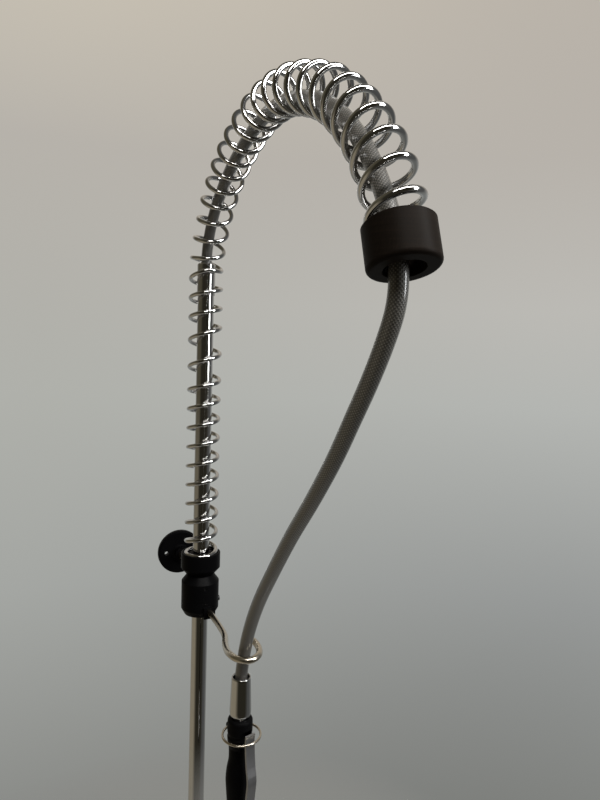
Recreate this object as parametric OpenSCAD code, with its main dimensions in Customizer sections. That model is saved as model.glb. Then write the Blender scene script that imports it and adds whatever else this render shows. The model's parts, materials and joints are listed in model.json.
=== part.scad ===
// Deck-mounted pre-rinse faucet: a two-handle mixer, a tall riser with an overhead
// spring, a flexible hose with a hook, and a squeeze-lever spray gun.
// Origin: riser axis at the deck plane. +Z is up, the arch reaches towards -Y, the wall is at +Y.

/* [Base] */
// Radius of the threaded shank that passes through the deck
shank_r = 16; // [15:0.5:18]
// Length of the shank below the deck
shank_drop = 78; // [60:1:110]
// Thickest deck that the clamp nut still grips
deck_grip = 21; // [10:1:32]
// Thickness of the sealing rings above and below the deck
gasket_t = 2; // [1:0.5:4]
// Radius of the base flange
flange_r = 30; // [27:1:40]
// Height of the base flange
flange_h = 10; // [6:1:16]
// Radius of the mixer body
body_r = 21; // [20:0.5:26]
// Height of the mixer body above its flange, up to its top shoulder
body_h = 66; // [60:1:90]
// Radius of the supply thread in the shank
inlet_r = 4.5; // [4.2:0.1:5]
// Length of the supply thread
inlet_l = 20; // [12:1:30]
// Distance from the shank axis to each supply thread
inlet_x = 7.5; // [6.5:0.25:9]

/* [Valves and handles] */
// Height of the two valve arms above the deck
arm_z = 46; // [42:1:56]
// Radius of a valve arm
arm_r = 15; // [13:0.5:17]
// Distance from the riser axis to the face of a valve arm
arm_l = 42; // [38:1:52]
// Radius of a valve cartridge in its bore
cartridge_r = 9; // [8:0.25:10]
// Radius of a valve spindle
spindle_r = 3.5; // [3:0.25:4.5]
// Radius of a handle hub
hub_r = 13; // [11:0.5:16]
// Length of a handle hub along the spindle
hub_l = 18; // [16:1:24]
// Reach of a handle from its spindle axis to the centre of its ball end
handle_reach = 62; // [45:1:85]
// Radius of the ball at a handle's end
handle_ball_r = 6; // [4:0.5:8]

/* [Riser] */
// Outer radius of the riser pipe
riser_r = 10; // [9:0.25:11]
// Wall of the riser pipe
riser_wall = 2; // [1.5:0.1:2.5]
// Height of the riser's top shoulder above the deck
riser_top = 919; // [880:1:960]
// Length of the threaded spigot on the riser's top
spigot_l = 15; // [10:1:17]
// Radius of the hose sleeve on the riser's top
sleeve_r = 10.9; // [10.6:0.1:13]
// Length of the hose sleeve
sleeve_l = 38; // [34:1:48]

/* [Collar] */
// Height of the bracket ring's underside above the deck
collar_z = 545; // [520:1:570]
// Radius of the bracket ring and the hook ring
collar_r = 23; // [21:0.25:26]
// Height of the bracket ring's straight side
bracket_side_h = 22.5; // [18:0.5:28]
// Height of the slope from the bracket ring's side to its neck
bracket_slope_h = 8.5; // [5:0.5:12]
// Radius of the neck where bracket ring and spring holder meet
neck_r = 16.5; // [15:0.25:19]
// Radius of the spring holder
holder_r = 24; // [23:0.25:27]
// Height of the spring holder's straight side
holder_side_h = 19; // [15:0.5:24]
// Height of the slope under the spring holder
holder_slope_h = 8.5; // [5:0.5:12]
// Height of the hook ring
hook_ring_h = 18; // [16:0.5:24]
// Radius of the set screws in the collar
grub_r = 2; // [1.5:0.25:2.5]

/* [Wall bracket] */
// Distance from the riser axis to the wall
wall_y = 108; // [95:1:130]
// Height of the bracket's arm above the bracket ring's underside
arm_rise = 26; // [25:0.5:28]
// Radius of the bracket's arm
wall_arm_r = 5; // [4:0.25:6]
// Radius of the wall disc
disc_r = 30; // [27:0.5:36]
// Thickness of the wall disc
disc_t = 7; // [5:0.5:10]
// Distance between the two screw holes in the wall disc
disc_hole_gap = 38; // [34:1:44]
// Radius of a screw hole in the wall disc
disc_hole_r = 2.75; // [2:0.25:3.5]

/* [Spring and cap] */
// Radius of the spring to the middle of its wire
coil_r = 18.3; // [17.5:0.1:19]
// Radius of the spring wire
wire_r = 2.5; // [1.8:0.1:2.6]
// Turns at the lower pitch
low_turns = 9.1; // [7:0.1:11]
// Pitch of the lower turns
low_pitch = 23.4; // [18:0.2:26]
// Turns that are stretched open by handling
open_turns = 2; // [1:0.5:3]
// Pitch of the stretched turns
open_pitch = 32; // [24:0.2:34]
// Turns up the rising side of the arch
rise_turns = 11.3; // [9:0.1:13]
// Pitch of the turns up the rising side
rise_pitch = 23.2; // [20:0.2:25]
// Turns over the top of the arch
crown_turns = 8; // [6:0.5:10]
// Pitch of the turns over the top of the arch
crown_pitch = 25.4; // [22:0.2:27]
// Turns from there down to the cap
fall_turns = 6.3; // [5:0.1:7]
// Part of a turn that lies flat at each end
flat_turns = 0.65; // [0.5:0.05:0.65]
// Reach of the arch, from the riser axis to the middle of the end cap
arch_reach = 407; // [395:1:420]
// Radius of the end cap
cap_r = 23.2; // [23:0.1:26]
// Height of the end cap
cap_h = 29; // [26:0.5:36]
// Thickness of the end cap's floor
cap_floor = 10.5; // [6:0.5:12]
// Radius of the hose hole in the cap's floor
cap_hole_r = 13.5; // [13:0.25:14.5]
// Lean of the end cap's axis away from the vertical
cap_tilt = 17; // [15:0.5:19]

/* [Hose and hook] */
// Outer radius of the hose
hose_r = 6.4; // [6:0.1:6.6]
// Radius of the hook rod
rod_r = 3.4; // [2.5:0.1:3.6]

/* [Gun] */
// Distance from the riser axis to the gun axis
gun_y = 154; // [152:0.5:156]
// Direction that the gun's lever faces, from +X
lever_az = -75; // [-120:1:-30]
// Height of the cone nut's top below the bracket ring's underside
gun_drop = 24; // [22:0.5:26]
// Length of the cone nut
cone_l = 47; // [45:0.5:52]
// Radius of the cone nut at its top
cone_top_r = 10; // [9.5:0.1:10.5]
// Radius of the cone nut at its widest
cone_r = 11.2; // [10.8:0.1:13]
// Radius of the core tube in the grip
core_r = 4.5; // [4:0.1:5]
// Radius of the bore through the gun
core_bore_r = 3.2; // [2.5:0.1:3.5]
// Height of the flared collar at the top of the grip
grip_collar_h = 22; // [20:0.5:24]
// Radius of that collar at its widest
grip_collar_r = 13.1; // [12.9:0.1:13.5]
// Length of the grip below its collar
grip_l = 95; // [90:1:100]
// Radius of the wire ring that holds the lever
ring_r = 19.5; // [18.5:0.25:21]
// Wire radius of that ring
ring_wire_r = 1.25; // [1:0.05:1.4]
// Lean of the spray head towards the lever
head_tilt = 25; // [15:1:30]
// Outer radius of the spray bell
bell_r = 21; // [19:0.5:24]
// Wall of the rubber bumper round the bell
bumper_t = 5; // [3:0.5:7]
// Radius of a spray hole
jet_r = 1.2; // [0.8:0.1:1.5]

/* [Lever and valve] */
// Height of the lever's pivot above the spray head's root
pivot_rise = 2; // [1:0.5:4]
// Distance from the lever's pivot up to the valve stem
stem_rise = 24; // [23:0.5:26]
// Radius of the lever's pivot pin
pin_r = 2; // [1.5:0.1:2.5]
// Thickness of the lever's sheet
lever_t = 2.2; // [1.6:0.1:2.6]
// Width of the lever
lever_w = 10.6; // [8:0.2:12]
// Width of the ear boss that the lever straddles
boss_w = 8; // [6:0.5:9]
// Thickness of each lever ear
ear_t = 2; // [1.5:0.1:2.5]
// Radius of the valve stem
stem_r = 2.5; // [2:0.1:2.8]

/* [Hidden] */
$fn = 64;

// Clearances: a turning fit, a threaded or pushed fit, and a gap between moving faces
run_gap = 0.06;
fit_gap = 0.03;
face_gap = 0.2;
touch_gap = 0.02;
// Overshoot of a cut past the face that it opens
over = 1;

// Derived heights of the base
flange_z = gasket_t;
body_z = flange_z + flange_h;
shoulder_z = body_z + body_h;
socket_depth = 14;
shank_top = body_z + socket_depth;
washer_z = -deck_grip - gasket_t;
steel_washer_t = 2;
nut_h = 12;
nut_z = washer_z - steel_washer_t - nut_h;
nut_flats_r = shank_r + 10;
washer_r = shank_r + 11;

// Derived sizes of a valve, measured outwards along its spindle
bore_in = body_r;
disc_cavity = 5.5;
moving_disc_t = 3;
cartridge_flange_t = 6;
neck_l = 5;
hub_x = arm_l + cartridge_flange_t + neck_l + 0.6;
spindle_end = hub_x + hub_l / 2;
screw_r = 2;
screw_head_r = 3.8;
cap_seat_x = hub_x + hub_l - 6;
index_r = 5;

// Derived heights of the riser joint
union_spigot_r = riser_r + 4;
union_spigot_l = 14;
union_seat = shoulder_z + union_spigot_l;
seal_t = 2;
riser_foot = union_seat + seal_t;
riser_foot_r = riser_r + 2.4;
riser_foot_t = 3;
riser_bore = riser_r - riser_wall;
spigot_r = riser_r - riser_wall / 2;
tail_flange_t = 3;
sleeve_top = riser_top + sleeve_l;
tail_seat = riser_top + spigot_l + seal_t;
tail_top = tail_seat + tail_flange_t;
lip_bore_r = hose_r + 0.5;
straight_lead = 10;

// Derived heights of the collar
bracket_top = collar_z + bracket_side_h + bracket_slope_h;
holder_z = bracket_top + face_gap;
holder_top = holder_z + holder_slope_h + holder_side_h;
groove_gap = 0.7;
wire_rings = 8;
seat_depth = 3.6;
seat_z = holder_top - seat_depth;
hook_ring_top = collar_z - face_gap;
hook_ring_z = hook_ring_top - hook_ring_h;
hook_ring_slope = 4;
arm_z_wall = collar_z + arm_rise;
arm_boss_r = wall_arm_r + 4;
arm_boss_y = 44;
disc_boss_l = 10;

// Middle of the end cap where the routes below are drawn to, (y, z) above the hose sleeve's top
drawn_cap = [-407, -40];
// Stretch of the drawn routes to the arch's reach, over the arch and down to the gun
arch_stretch = -arch_reach / drawn_cap[0];
free_stretch = (arch_reach - gun_y) / (-drawn_cap[0] - gun_y);

// Route of the arch, (y, z) above the hose sleeve's top
drawn_arch = [
    [0, -5], [-14, 27], [-43, 64], [-83, 92], [-128, 110], [-164, 118], [-200, 119],
    [-240, 113], [-288, 95], [-326, 73], [-364, 39], [-389, 4]
];
arch_points = [for (p = drawn_arch) [arch_stretch * p[0], p[1]]];
cap_mid = [-arch_reach, drawn_cap[1]];

// Route of the hose, (y, z) above the hose sleeve's top down to the cap
drawn_hose_arch = [
    [0, 5], [-6, 25], [-20, 46], [-45, 68], [-86, 90], [-130, 104], [-165, 111], [-200, 112],
    [-238, 106], [-285, 89], [-322, 67], [-358, 34], [-383, 0], [-398.5, -30], [-405, -55], [-403.5, -76]
];
hose_arch_points = [for (p = drawn_hose_arch) [arch_stretch * p[0], p[1]]];
// Route of the hose below the cap, (y, z) above the bracket ring's underside
drawn_hose_free = [
    [-393, 314], [-377, 289], [-358, 263], [-334, 231], [-302, 194], [-262, 151],
    [-220, 101], [-198, 73], [-181, 47], [-168, 22], [-159, -3]
];
hose_free_points = [for (p = drawn_hose_free) [free_stretch * (p[0] + gun_y) - gun_y, p[1]]];
// Route of the hook rod, (x, y, z) above the bracket ring's underside
hook_points = [
    [5, -14, -10], [5, -40, -10], [5, -66, -10.5], [3, -90, -10], [-5, -116, -6], [-10.5, -138, -2],
    [-12.2, -153, 1], [-9.2, -167.5, 2.5], [1, -175, 3], [11.5, -170.5, 4], [16.5, -159, 5], [16.5, -146, 6],
    [11, -136, 6.5], [4, -133, 6.5]
];
boss_mid_x = 5;
boss_front_y = -26;

// Derived heights of the gun
cone_top = collar_z - gun_drop;
cone_z = cone_top - cone_l;
nut_mouth_l = 24;
nut_shoulder = cone_top - nut_mouth_l;
nut_neck_r = cone_r - 1.9;
chamber_r = 8;
gun_tail_t = 4;
tail_z = nut_shoulder - gun_tail_t;
washer_top = tail_z - run_gap;
core_top = washer_top - seal_t;
core_flange_t = 4.8;
core_flange_r = 10.6;
grip_top = cone_z - core_flange_t;
grip_collar_z = grip_top - grip_collar_h;
grip_z = grip_collar_z - grip_l;
grip_shift = -2.5;
ring_z = grip_top - 8.6;
ring_u = 3;
lug_u = ring_u - ring_r;
lug_w = 6.4;
lug_r = 4.3;

// Derived places in the gun's valve, along the stem (u) and above the deck (z)
stem_drop = 24;
stem_z = grip_z - stem_drop;
core_foot = grip_z - 14;
cross_r = 11;
chamber_end = -17;
plug_face = -12.2;
seat_u = 3.5;
seat_t = 1.5;
seat_r = 4;
up_chamber_r = 7.5;
down_chamber_r = 6.5;
cross_face = 15;
gland_in = 11;
packing_t = 1.4;
outlet_u = 7.6;
outlet_r = 2.4;
head_z = stem_z - stem_rise - pivot_rise;
pivot_u = 21;
pivot_z = stem_z - stem_rise;
stem_end = 22.5;
stem_head_r = 6;
stem_head_t = 2.5;
washer_t = 1.95;
guide_r = 2;
guide_l = 7;
bell_depth = 27;
face_seat = 21.2;
face_r = bell_r - 3;
bumper_lip = 4;

// Lever: inner face from the ears to the hooked tip, out from the gun's axis as a share of the
// pivot's distance and up as a share of the way to the hold ring
lever_h = ring_z - pivot_z;
lever_shares = [
    [1.119, 0.09], [1.0857, 0.155], [1, 0.26], [0.8857, 0.39], [0.8476, 0.52], [0.9429, 0.645], [1.019, 0.74],
    [0.9048, 0.825], [0.8238, 0.91], [0.7905, 0.975], [0.7762, 1.01], [0.819, 1.045]
];
lever_points = [for (p = lever_shares) [p[0] * pivot_u, p[1] * lever_h]];
// Grip: radius, and height as a share of the grip's length
grip_points = [
    [11.2, 0], [10.8, 0.05], [10.2, 0.2], [10.6, 0.36], [11.6, 0.5], [12.3, 0.62], [11.4, 0.74],
    [9.7, 0.84], [9.6, 0.93], [9.9, 1]
];

// Sweeping: a smooth curve through points, and a tube of rings along a list of places
function pick(points, i) = i < 0 ? 2 * points[0] - points[1]
    : i >= len(points) ? 2 * points[len(points) - 1] - points[len(points) - 2]
    : points[i];
function curve_at(points, u) =
    let (
        i = min(floor(u), len(points) - 2),
        t = u - i,
        a = pick(points, i - 1),
        b = pick(points, i),
        c = pick(points, i + 1),
        d = pick(points, i + 2)
    )
    (2 * b + (c - a) * t + (2 * a - 5 * b + 4 * c - d) * t * t + (3 * b - a - 3 * c + d) * t * t * t) / 2;
function smooth(points, steps) = [
    for (k = [0 : (len(points) - 1) * steps]) curve_at(points, k / steps)
];
function unit(v) = v / norm(v);
function along(points, i) = unit(points[min(i + 1, len(points) - 1)] - points[max(i - 1, 0)]);
function across(t, side) = unit(side - (side * t) * t);
function sum_to(steps, k) = k == 0 ? 0 : steps[k - 1] + sum_to(steps, k - 1);

module swept(points, sides_of, r, sides) {
    rings = len(points);
    vertices = [
        for (i = [0 : rings - 1])
            let (t = along(points, i), n = across(t, sides_of[i]), b = cross(t, n))
                for (j = [0 : sides - 1])
                    points[i] + r * (cos(360 * j / sides) * n + sin(360 * j / sides) * b)
    ];
    walls = [
        for (i = [0 : rings - 2], j = [0 : sides - 1])
            let (a = i * sides + j, b = i * sides + (j + 1) % sides)
                each [[a, a + sides, b + sides], [a, b + sides, b]]
    ];
    last = (rings - 1) * sides;
    caps = [
        for (j = [1 : sides - 2])
            each [[0, j, j + 1], [last, last + j + 1, last + j]]
    ];
    polyhedron(vertices, concat(walls, caps));
}

module ring_of(r, bore, z, h) {
    difference() {
        translate([0, 0, z]) cylinder(h = h, r = r);
        translate([0, 0, z - over]) cylinder(h = h + 2 * over, r = bore);
    }
}

module drill(a, b, r) {
    d = b - a;
    translate(a)
        rotate([0, acos(d[2] / norm(d)), atan2(d[1], d[0])])
            cylinder(h = norm(d), r = r);
}

module lathe(outline) {
    rotate_extrude() polygon(outline);
}

// Base: what clamps the faucet to a deck
module deck_gasket() {
    color("#202020") ring_of(flange_r - 2, shank_r + face_gap, 0, gasket_t);
}

module base_flange() {
    rim = flange_h * 0.35;
    color("#d8d8dc")
        lathe([
            [shank_r + face_gap, flange_z], [flange_r, flange_z], [flange_r, flange_z + rim],
            [body_r + 2, flange_z + flange_h], [shank_r + face_gap, flange_z + flange_h]
        ]);
}

module mixer_body() {
    chamfer = 3;
    mix_r = 7;
    mix_z = arm_z + arm_r + 2;
    annulus_x = arm_l - 9;
    color("#d8d8dc")
        difference() {
            union() {
                lathe([
                    [0, body_z], [body_r, body_z], [body_r, shoulder_z - chamfer],
                    [body_r - chamfer, shoulder_z], [union_spigot_r, shoulder_z],
                    [union_spigot_r, union_seat], [0, union_seat]
                ]);
                translate([-arm_l, 0, arm_z]) rotate([0, 90, 0]) cylinder(h = 2 * arm_l, r = arm_r);
            }
            translate([0, 0, body_z - over]) cylinder(h = socket_depth + over, r = shank_r + fit_gap);
            translate([0, 0, mix_z]) cylinder(h = union_seat - mix_z + over, r = mix_r);
            for (side = [-1, 1]) {
                drill([side * bore_in, 0, arm_z], [side * (arm_l + over), 0, arm_z], cartridge_r + fit_gap);
                drill([side * inlet_x, 0, shank_top - over], [side * (bore_in + 2), 0, arm_z], inlet_r - 1);
                drill([side * annulus_x, 0, arm_z + cartridge_r - 1], [0, 0, mix_z + mix_r], 3);
            }
        }
}

module mounting_shank() {
    clip_w = 2;
    clip_depth = 0.8;
    color("#b89a5a")
        difference() {
            translate([0, 0, -shank_drop]) cylinder(h = shank_drop + shank_top, r = shank_r);
            difference() {
                translate([0, 0, nut_z - clip_w - 1]) cylinder(h = clip_w, r = shank_r + over);
                translate([0, 0, nut_z - 2 * clip_w - 1]) cylinder(h = 3 * clip_w, r = shank_r - clip_depth);
            }
            for (side = [-1, 1]) {
                translate([side * inlet_x, 0, -shank_drop - over])
                    cylinder(h = inlet_l + over, r = inlet_r);
                translate([side * inlet_x, 0, -shank_drop])
                    cylinder(h = shank_drop + shank_top + over, r = inlet_r - 0.5);
            }
        }
}

module check_valves() {
    valve_l = 16;
    color("#4a7ab0")
        for (side = [-1, 1])
            translate([side * inlet_x, 0, 0])
                ring_of(inlet_r - 0.5 - fit_gap, inlet_r - 2.5, inlet_l - shank_drop, valve_l);
}

module rubber_clamp_washer() {
    color("#202020") ring_of(washer_r, shank_r + face_gap, washer_z, gasket_t);
}

module steel_clamp_washer() {
    color("#b8b8bc") ring_of(washer_r, shank_r + face_gap, washer_z - steel_washer_t, steel_washer_t);
}

module lock_nut() {
    color("#b89a5a")
        difference() {
            translate([0, 0, nut_z]) cylinder(h = nut_h, r = nut_flats_r, $fn = 6);
            translate([0, 0, nut_z - over]) cylinder(h = nut_h + 2 * over, r = shank_r + fit_gap);
        }
}

// Valves: everything is drawn along +X and mirrored for the hot side
module valve_side(side) {
    mirror([side < 0 ? 1 : 0, 0, 0])
        translate([0, 0, arm_z])
            rotate([0, 90, 0]) children();
}

module cartridge(side) {
    waist = 8;
    window_r = 2.5;
    color("#b89a5a")
        valve_side(side)
            difference() {
                union() {
                    lathe([
                        [0, bore_in], [cartridge_r, bore_in], [cartridge_r, bore_in + 7],
                        [cartridge_r - 1.5, bore_in + 7], [cartridge_r - 1.5, bore_in + 7 + waist],
                        [cartridge_r, bore_in + 7 + waist], [cartridge_r, arm_l], [0, arm_l]
                    ]);
                    translate([0, 0, arm_l]) cylinder(h = cartridge_flange_t, r = arm_r - 1, $fn = 6);
                    translate([0, 0, arm_l]) cylinder(h = cartridge_flange_t + neck_l, r = cartridge_r - 1);
                }
                translate([0, 0, bore_in - over]) cylinder(h = disc_cavity + over, r = cartridge_r - 2);
                cylinder(h = arm_l + 2 * neck_l + cartridge_flange_t, r = spindle_r + run_gap);
                translate([0, 0, bore_in + 7 + waist / 2])
                    rotate([0, 90, 0]) cylinder(h = 4 * cartridge_r, r = window_r, center = true);
            }
}

module spindle(side) {
    color("#c8c8cc")
        valve_side(side)
            difference() {
                union() {
                    translate([0, 0, bore_in + disc_cavity - moving_disc_t - face_gap])
                        cylinder(h = moving_disc_t, r = cartridge_r - 2 - run_gap);
                    translate([0, 0, bore_in + 1])
                        cylinder(h = spindle_end - bore_in - 1, r = spindle_r);
                }
                translate([0, 0, spindle_end - 8]) cylinder(h = 8 + over, r = screw_r + fit_gap);
            }
}

module handle(side) {
    root_r = 6.5;
    tip_r = 4.6;
    middle = hub_l / 2;
    edge = 2;
    color("#d8d8dc")
        valve_side(side)
            difference() {
                union() {
                    lathe([
                        [0, hub_x], [hub_r - edge, hub_x], [hub_r, hub_x + edge],
                        [hub_r, hub_x + hub_l - edge], [hub_r - edge, hub_x + hub_l], [0, hub_x + hub_l]
                    ]);
                    translate([0, 0, hub_x + middle])
                        rotate([90, 0, 0]) cylinder(h = handle_reach, r1 = root_r, r2 = tip_r);
                    translate([0, -handle_reach, hub_x + middle]) sphere(r = handle_ball_r);
                }
                translate([0, 0, hub_x - over])
                    cylinder(h = hub_l / 2 + over + fit_gap, r = spindle_r + fit_gap);
                cylinder(h = cap_seat_x + over, r = screw_r + 0.1);
                translate([0, 0, cap_seat_x]) cylinder(h = hub_l, r = index_r + fit_gap);
            }
}

module handle_screw(side) {
    head_t = 3;
    color("#b8b8bc")
        valve_side(side) {
            translate([0, 0, spindle_end - 7]) cylinder(h = cap_seat_x - spindle_end + 7, r = screw_r);
            translate([0, 0, cap_seat_x]) cylinder(h = head_t, r = screw_head_r);
        }
}

module index_cap(side, tint) {
    seat = cap_seat_x + 3;
    face = hub_x + hub_l;
    color(tint)
        valve_side(side)
            lathe([[0, seat], [index_r, seat], [index_r, face], [index_r - 1, face + 0.8], [0, face + 1.2]]);
}

module hot_cartridge() { cartridge(-1); }
module hot_spindle() { spindle(-1); }
module hot_handle() { handle(-1); }
module hot_handle_screw() { handle_screw(-1); }
module hot_index_cap() { index_cap(-1, "#c02020"); }
module cold_cartridge() { cartridge(1); }
module cold_spindle() { spindle(1); }
module cold_handle() { handle(1); }
module cold_handle_screw() { handle_screw(1); }
module cold_index_cap() { index_cap(1, "#2050b0"); }

// Riser: the pipe, the nut at its foot and the hose sleeve on its top
module riser_seal() {
    color("#303030") ring_of(riser_foot_r, riser_bore, union_seat, seal_t);
}

module riser_union_nut() {
    nut_r = union_spigot_r + 3.5;
    nut_z0 = shoulder_z + 1;
    lip = riser_foot + riser_foot_t;
    edge = 2;
    nut_top = lip + 9;
    color("#d8d8dc")
        lathe([
            [union_spigot_r + fit_gap, nut_z0], [nut_r - edge, nut_z0], [nut_r, nut_z0 + edge],
            [nut_r, nut_top - 2 * edge], [nut_r - 2 * edge, nut_top], [riser_r + fit_gap, nut_top],
            [riser_r + fit_gap, lip], [union_spigot_r + fit_gap, lip]
        ]);
}

module riser_pipe() {
    color("#d8d8dc")
        lathe([
            [riser_bore, riser_foot], [riser_foot_r, riser_foot], [riser_foot_r, riser_foot + riser_foot_t],
            [riser_r, riser_foot + riser_foot_t], [riser_r, riser_top], [spigot_r, riser_top],
            [spigot_r, riser_top + spigot_l], [riser_bore, riser_top + spigot_l]
        ]);
}

module riser_hose_seal() {
    color("#303030") ring_of(spigot_r, riser_bore, riser_top + spigot_l, seal_t);
}

module riser_hose_sleeve() {
    edge = 0.8;
    inner_r = spigot_r + run_gap;
    color("#d8d8dc")
        lathe([
            [inner_r, riser_top], [sleeve_r - edge, riser_top], [sleeve_r, riser_top + edge],
            [sleeve_r, sleeve_top - 2 * edge], [sleeve_r - 2 * edge, sleeve_top], [lip_bore_r, sleeve_top],
            [lip_bore_r, tail_top + run_gap], [inner_r, tail_top + run_gap]
        ]);
}

module upper_hose_tail() {
    color("#b89a5a") ring_of(spigot_r, core_bore_r, tail_seat + run_gap, tail_flange_t - run_gap);
}

// Collar: the bracket ring, the spring holder above it and the hook ring below it
module bracket_ring() {
    screw_z = collar_z + bracket_side_h - 4;
    sweep_r = holder_r + 0.6;
    color("#1c1c1e")
        difference() {
            union() {
                lathe([
                    [0, collar_z], [collar_r, collar_z], [collar_r, collar_z + bracket_side_h],
                    [neck_r, bracket_top], [0, bracket_top]
                ]);
                difference() {
                    translate([0, 0, arm_z_wall])
                        rotate([-90, 0, 0]) cylinder(h = arm_boss_y, r = arm_boss_r);
                    translate([0, 0, collar_z + bracket_side_h]) cylinder(h = 3 * arm_boss_r, r = sweep_r);
                }
            }
            translate([0, 0, collar_z - over])
                cylinder(h = bracket_top - collar_z + 2 * over, r = riser_r + fit_gap);
            translate([0, collar_r + 1, arm_z_wall])
                rotate([-90, 0, 0]) cylinder(h = arm_boss_y, r = wall_arm_r + fit_gap);
            drill([0, 0, screw_z], [0, -2 * collar_r, screw_z], grub_r + fit_gap);
        }
}

module grub(length) {
    difference() {
        cylinder(h = length, r = grub_r);
        translate([0, 0, length - 2]) cylinder(h = 2 + over, r = grub_r * 0.55, $fn = 6);
    }
}

module bracket_set_screw() {
    color("#808084")
        translate([0, -riser_r, collar_z + bracket_side_h - 4])
            rotate([90, 0, 0]) grub(collar_r - riser_r - 1);
}

module wall_arm() {
    color("#a8a49c")
        translate([0, collar_r + 1, arm_z_wall])
            rotate([-90, 0, 0]) cylinder(h = wall_y - 3 - collar_r - 1, r = wall_arm_r);
}

module wall_disc() {
    edge = 2;
    color("#161617")
        difference() {
            translate([0, wall_y, arm_z_wall])
                rotate([90, 0, 0])
                    lathe([
                        [0, 0], [disc_r, 0], [disc_r, disc_t - edge], [disc_r - edge, disc_t],
                        [arm_boss_r + 2, disc_t], [arm_boss_r, disc_t + 2],
                        [arm_boss_r, disc_t + disc_boss_l], [0, disc_t + disc_boss_l]
                    ]);
            translate([0, 0, arm_z_wall])
                rotate([-90, 0, 0]) cylinder(h = wall_y - 3 + fit_gap, r = wall_arm_r + fit_gap);
            for (side = [-1, 1])
                translate([side * disc_hole_gap / 2, 0, arm_z_wall])
                    rotate([-90, 0, 0]) cylinder(h = wall_y + over, r = disc_hole_r);
            translate([0, wall_y - disc_t - disc_boss_l / 2, arm_z_wall])
                cylinder(h = 2 * arm_boss_r, r = grub_r + fit_gap);
        }
}

module wall_set_screw() {
    color("#808084")
        translate([0, wall_y - disc_t - disc_boss_l / 2, arm_z_wall + wall_arm_r])
            grub(arm_boss_r - wall_arm_r - 0.5);
}

module spring_holder() {
    lip_t = holder_r - coil_r - wire_r - groove_gap;
    hub = coil_r * cos(180 / wire_rings) - wire_r - groove_gap / 2;
    stop_t = 3;
    color("#1c1c1e") {
        difference() {
            lathe([
                [riser_r + run_gap, holder_z], [neck_r, holder_z], [holder_r, holder_z + holder_slope_h],
                [holder_r, holder_top - 0.8], [holder_r - 0.8, holder_top], [holder_r - lip_t, holder_top],
                [holder_r - lip_t, seat_z], [hub, seat_z], [hub, holder_top - 1],
                [riser_r + run_gap, holder_top - 1]
            ]);
        }
        rotate([0, 0, low_end_angle])
            translate([hub - 0.5, -low_stop_y - stop_t, seat_z - 0.5])
                cube([holder_r - lip_t - hub + 0.8, stop_t, seat_depth - 0.5]);
    }
}

// Spring: a helix about a centre line that climbs the riser and follows the arch
arch = [for (p = arch_points) [0, p[0], p[1] + sleeve_top]];
cap_axis = [0, -sin(cap_tilt), -cos(cap_tilt)];
cap_centre = [0, cap_mid[0], cap_mid[1] + sleeve_top];
cap_seat = cap_centre + (cap_h / 2 - cap_floor - wire_r - 0.1) * cap_axis;
cap_mouth = cap_centre - cap_h / 2 * cap_axis;
coil_foot = [0, 0, seat_z + wire_r + 0.1];
straight = [for (k = [0 : 3]) coil_foot + (arch[0] - [0, 0, 20] - coil_foot) * k / 3];
centre_line = smooth(concat(straight, arch, [cap_mouth, (cap_mouth + 2 * cap_seat) / 3, cap_seat]), 12);
steps_of = [for (i = [0 : len(centre_line) - 2]) norm(centre_line[i + 1] - centre_line[i])];
reach = [
    for (i = 0, s = 0; i < len(centre_line); s = s + (i < len(steps_of) ? steps_of[i] : 0), i = i + 1) s
];
total_reach = reach[len(reach) - 1];
counts = [flat_turns, low_turns, open_turns, rise_turns, crown_turns, fall_turns, flat_turns];
set_spans = [
    0, low_turns * low_pitch, open_turns * open_pitch, rise_turns * rise_pitch, crown_turns * crown_pitch
];
spans = concat(set_spans, [total_reach - sum_to(set_spans, len(set_spans)), 0]);
turn_marks = [for (k = [0 : len(counts)]) sum_to(counts, k)];
reach_marks = [for (k = [0 : len(spans)]) sum_to(spans, k)];
coil_turns = turn_marks[len(counts)];
// Where the lower end of the wire faces, turned from +Y towards -X
coil_start = 200 - 360 * flat_turns;
low_end_angle = 90 + coil_start;
low_stop_y = 2 * wire_r + 0.1;

function reach_at(q) = lookup(q, [for (k = [0 : len(counts)]) [turn_marks[k], reach_marks[k]]]);
function index_at(s) = len([for (r = reach) if (r <= s) 1]) - 1;
function centre_at(s) =
    let (i = min(max(index_at(s), 0), len(reach) - 2), f = (s - reach[i]) / (reach[i + 1] - reach[i]))
    centre_line[i] + f * (centre_line[i + 1] - centre_line[i]);
function heading_at(s) = unit(centre_at(min(s + 3, total_reach)) - centre_at(max(s - 3, 0)));
function spoke_at(q) =
    let (
        t = heading_at(reach_at(q)),
        n = [0, t[2], -t[1]],
        b = cross(t, n),
        a = coil_start + 360 * q
    )
    cos(a) * n + sin(a) * b;
function coil_at(q) = centre_at(reach_at(q)) + coil_r * spoke_at(q);
function coil_points(per_turn) = [
    for (k = [0 : round(coil_turns * per_turn)]) coil_at(k / per_turn)
];
function with_ends(points, l) = concat(
    [points[0] - l * unit(points[1] - points[0])],
    points,
    [points[len(points) - 1] + l * unit(points[len(points) - 1] - points[len(points) - 2])]
);

module overhead_spring() {
    fine = 2 * wire_rings;
    points = coil_points(wire_rings);
    spokes = [for (k = [0 : len(points) - 1]) spoke_at(k / wire_rings)];
    finer = with_ends(coil_points(fine), 2 * wire_r);
    last = len(finer) - 1;
    gaps = [
        for (i = [0 : last], j = [i + fine / 2 : min(i + 3 * fine / 2, last)]) norm(finer[i] - finer[j])
    ];
    echo(str("overhead spring: ", coil_turns, " turns, least gap to itself ", min(gaps) - 2 * wire_r, " mm"));
    color("#d8d8dc")
        swept(
            with_ends(points, 2 * wire_r),
            concat([spokes[0]], spokes, [spokes[len(spokes) - 1]]),
            wire_r, 6
        );
}

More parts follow.
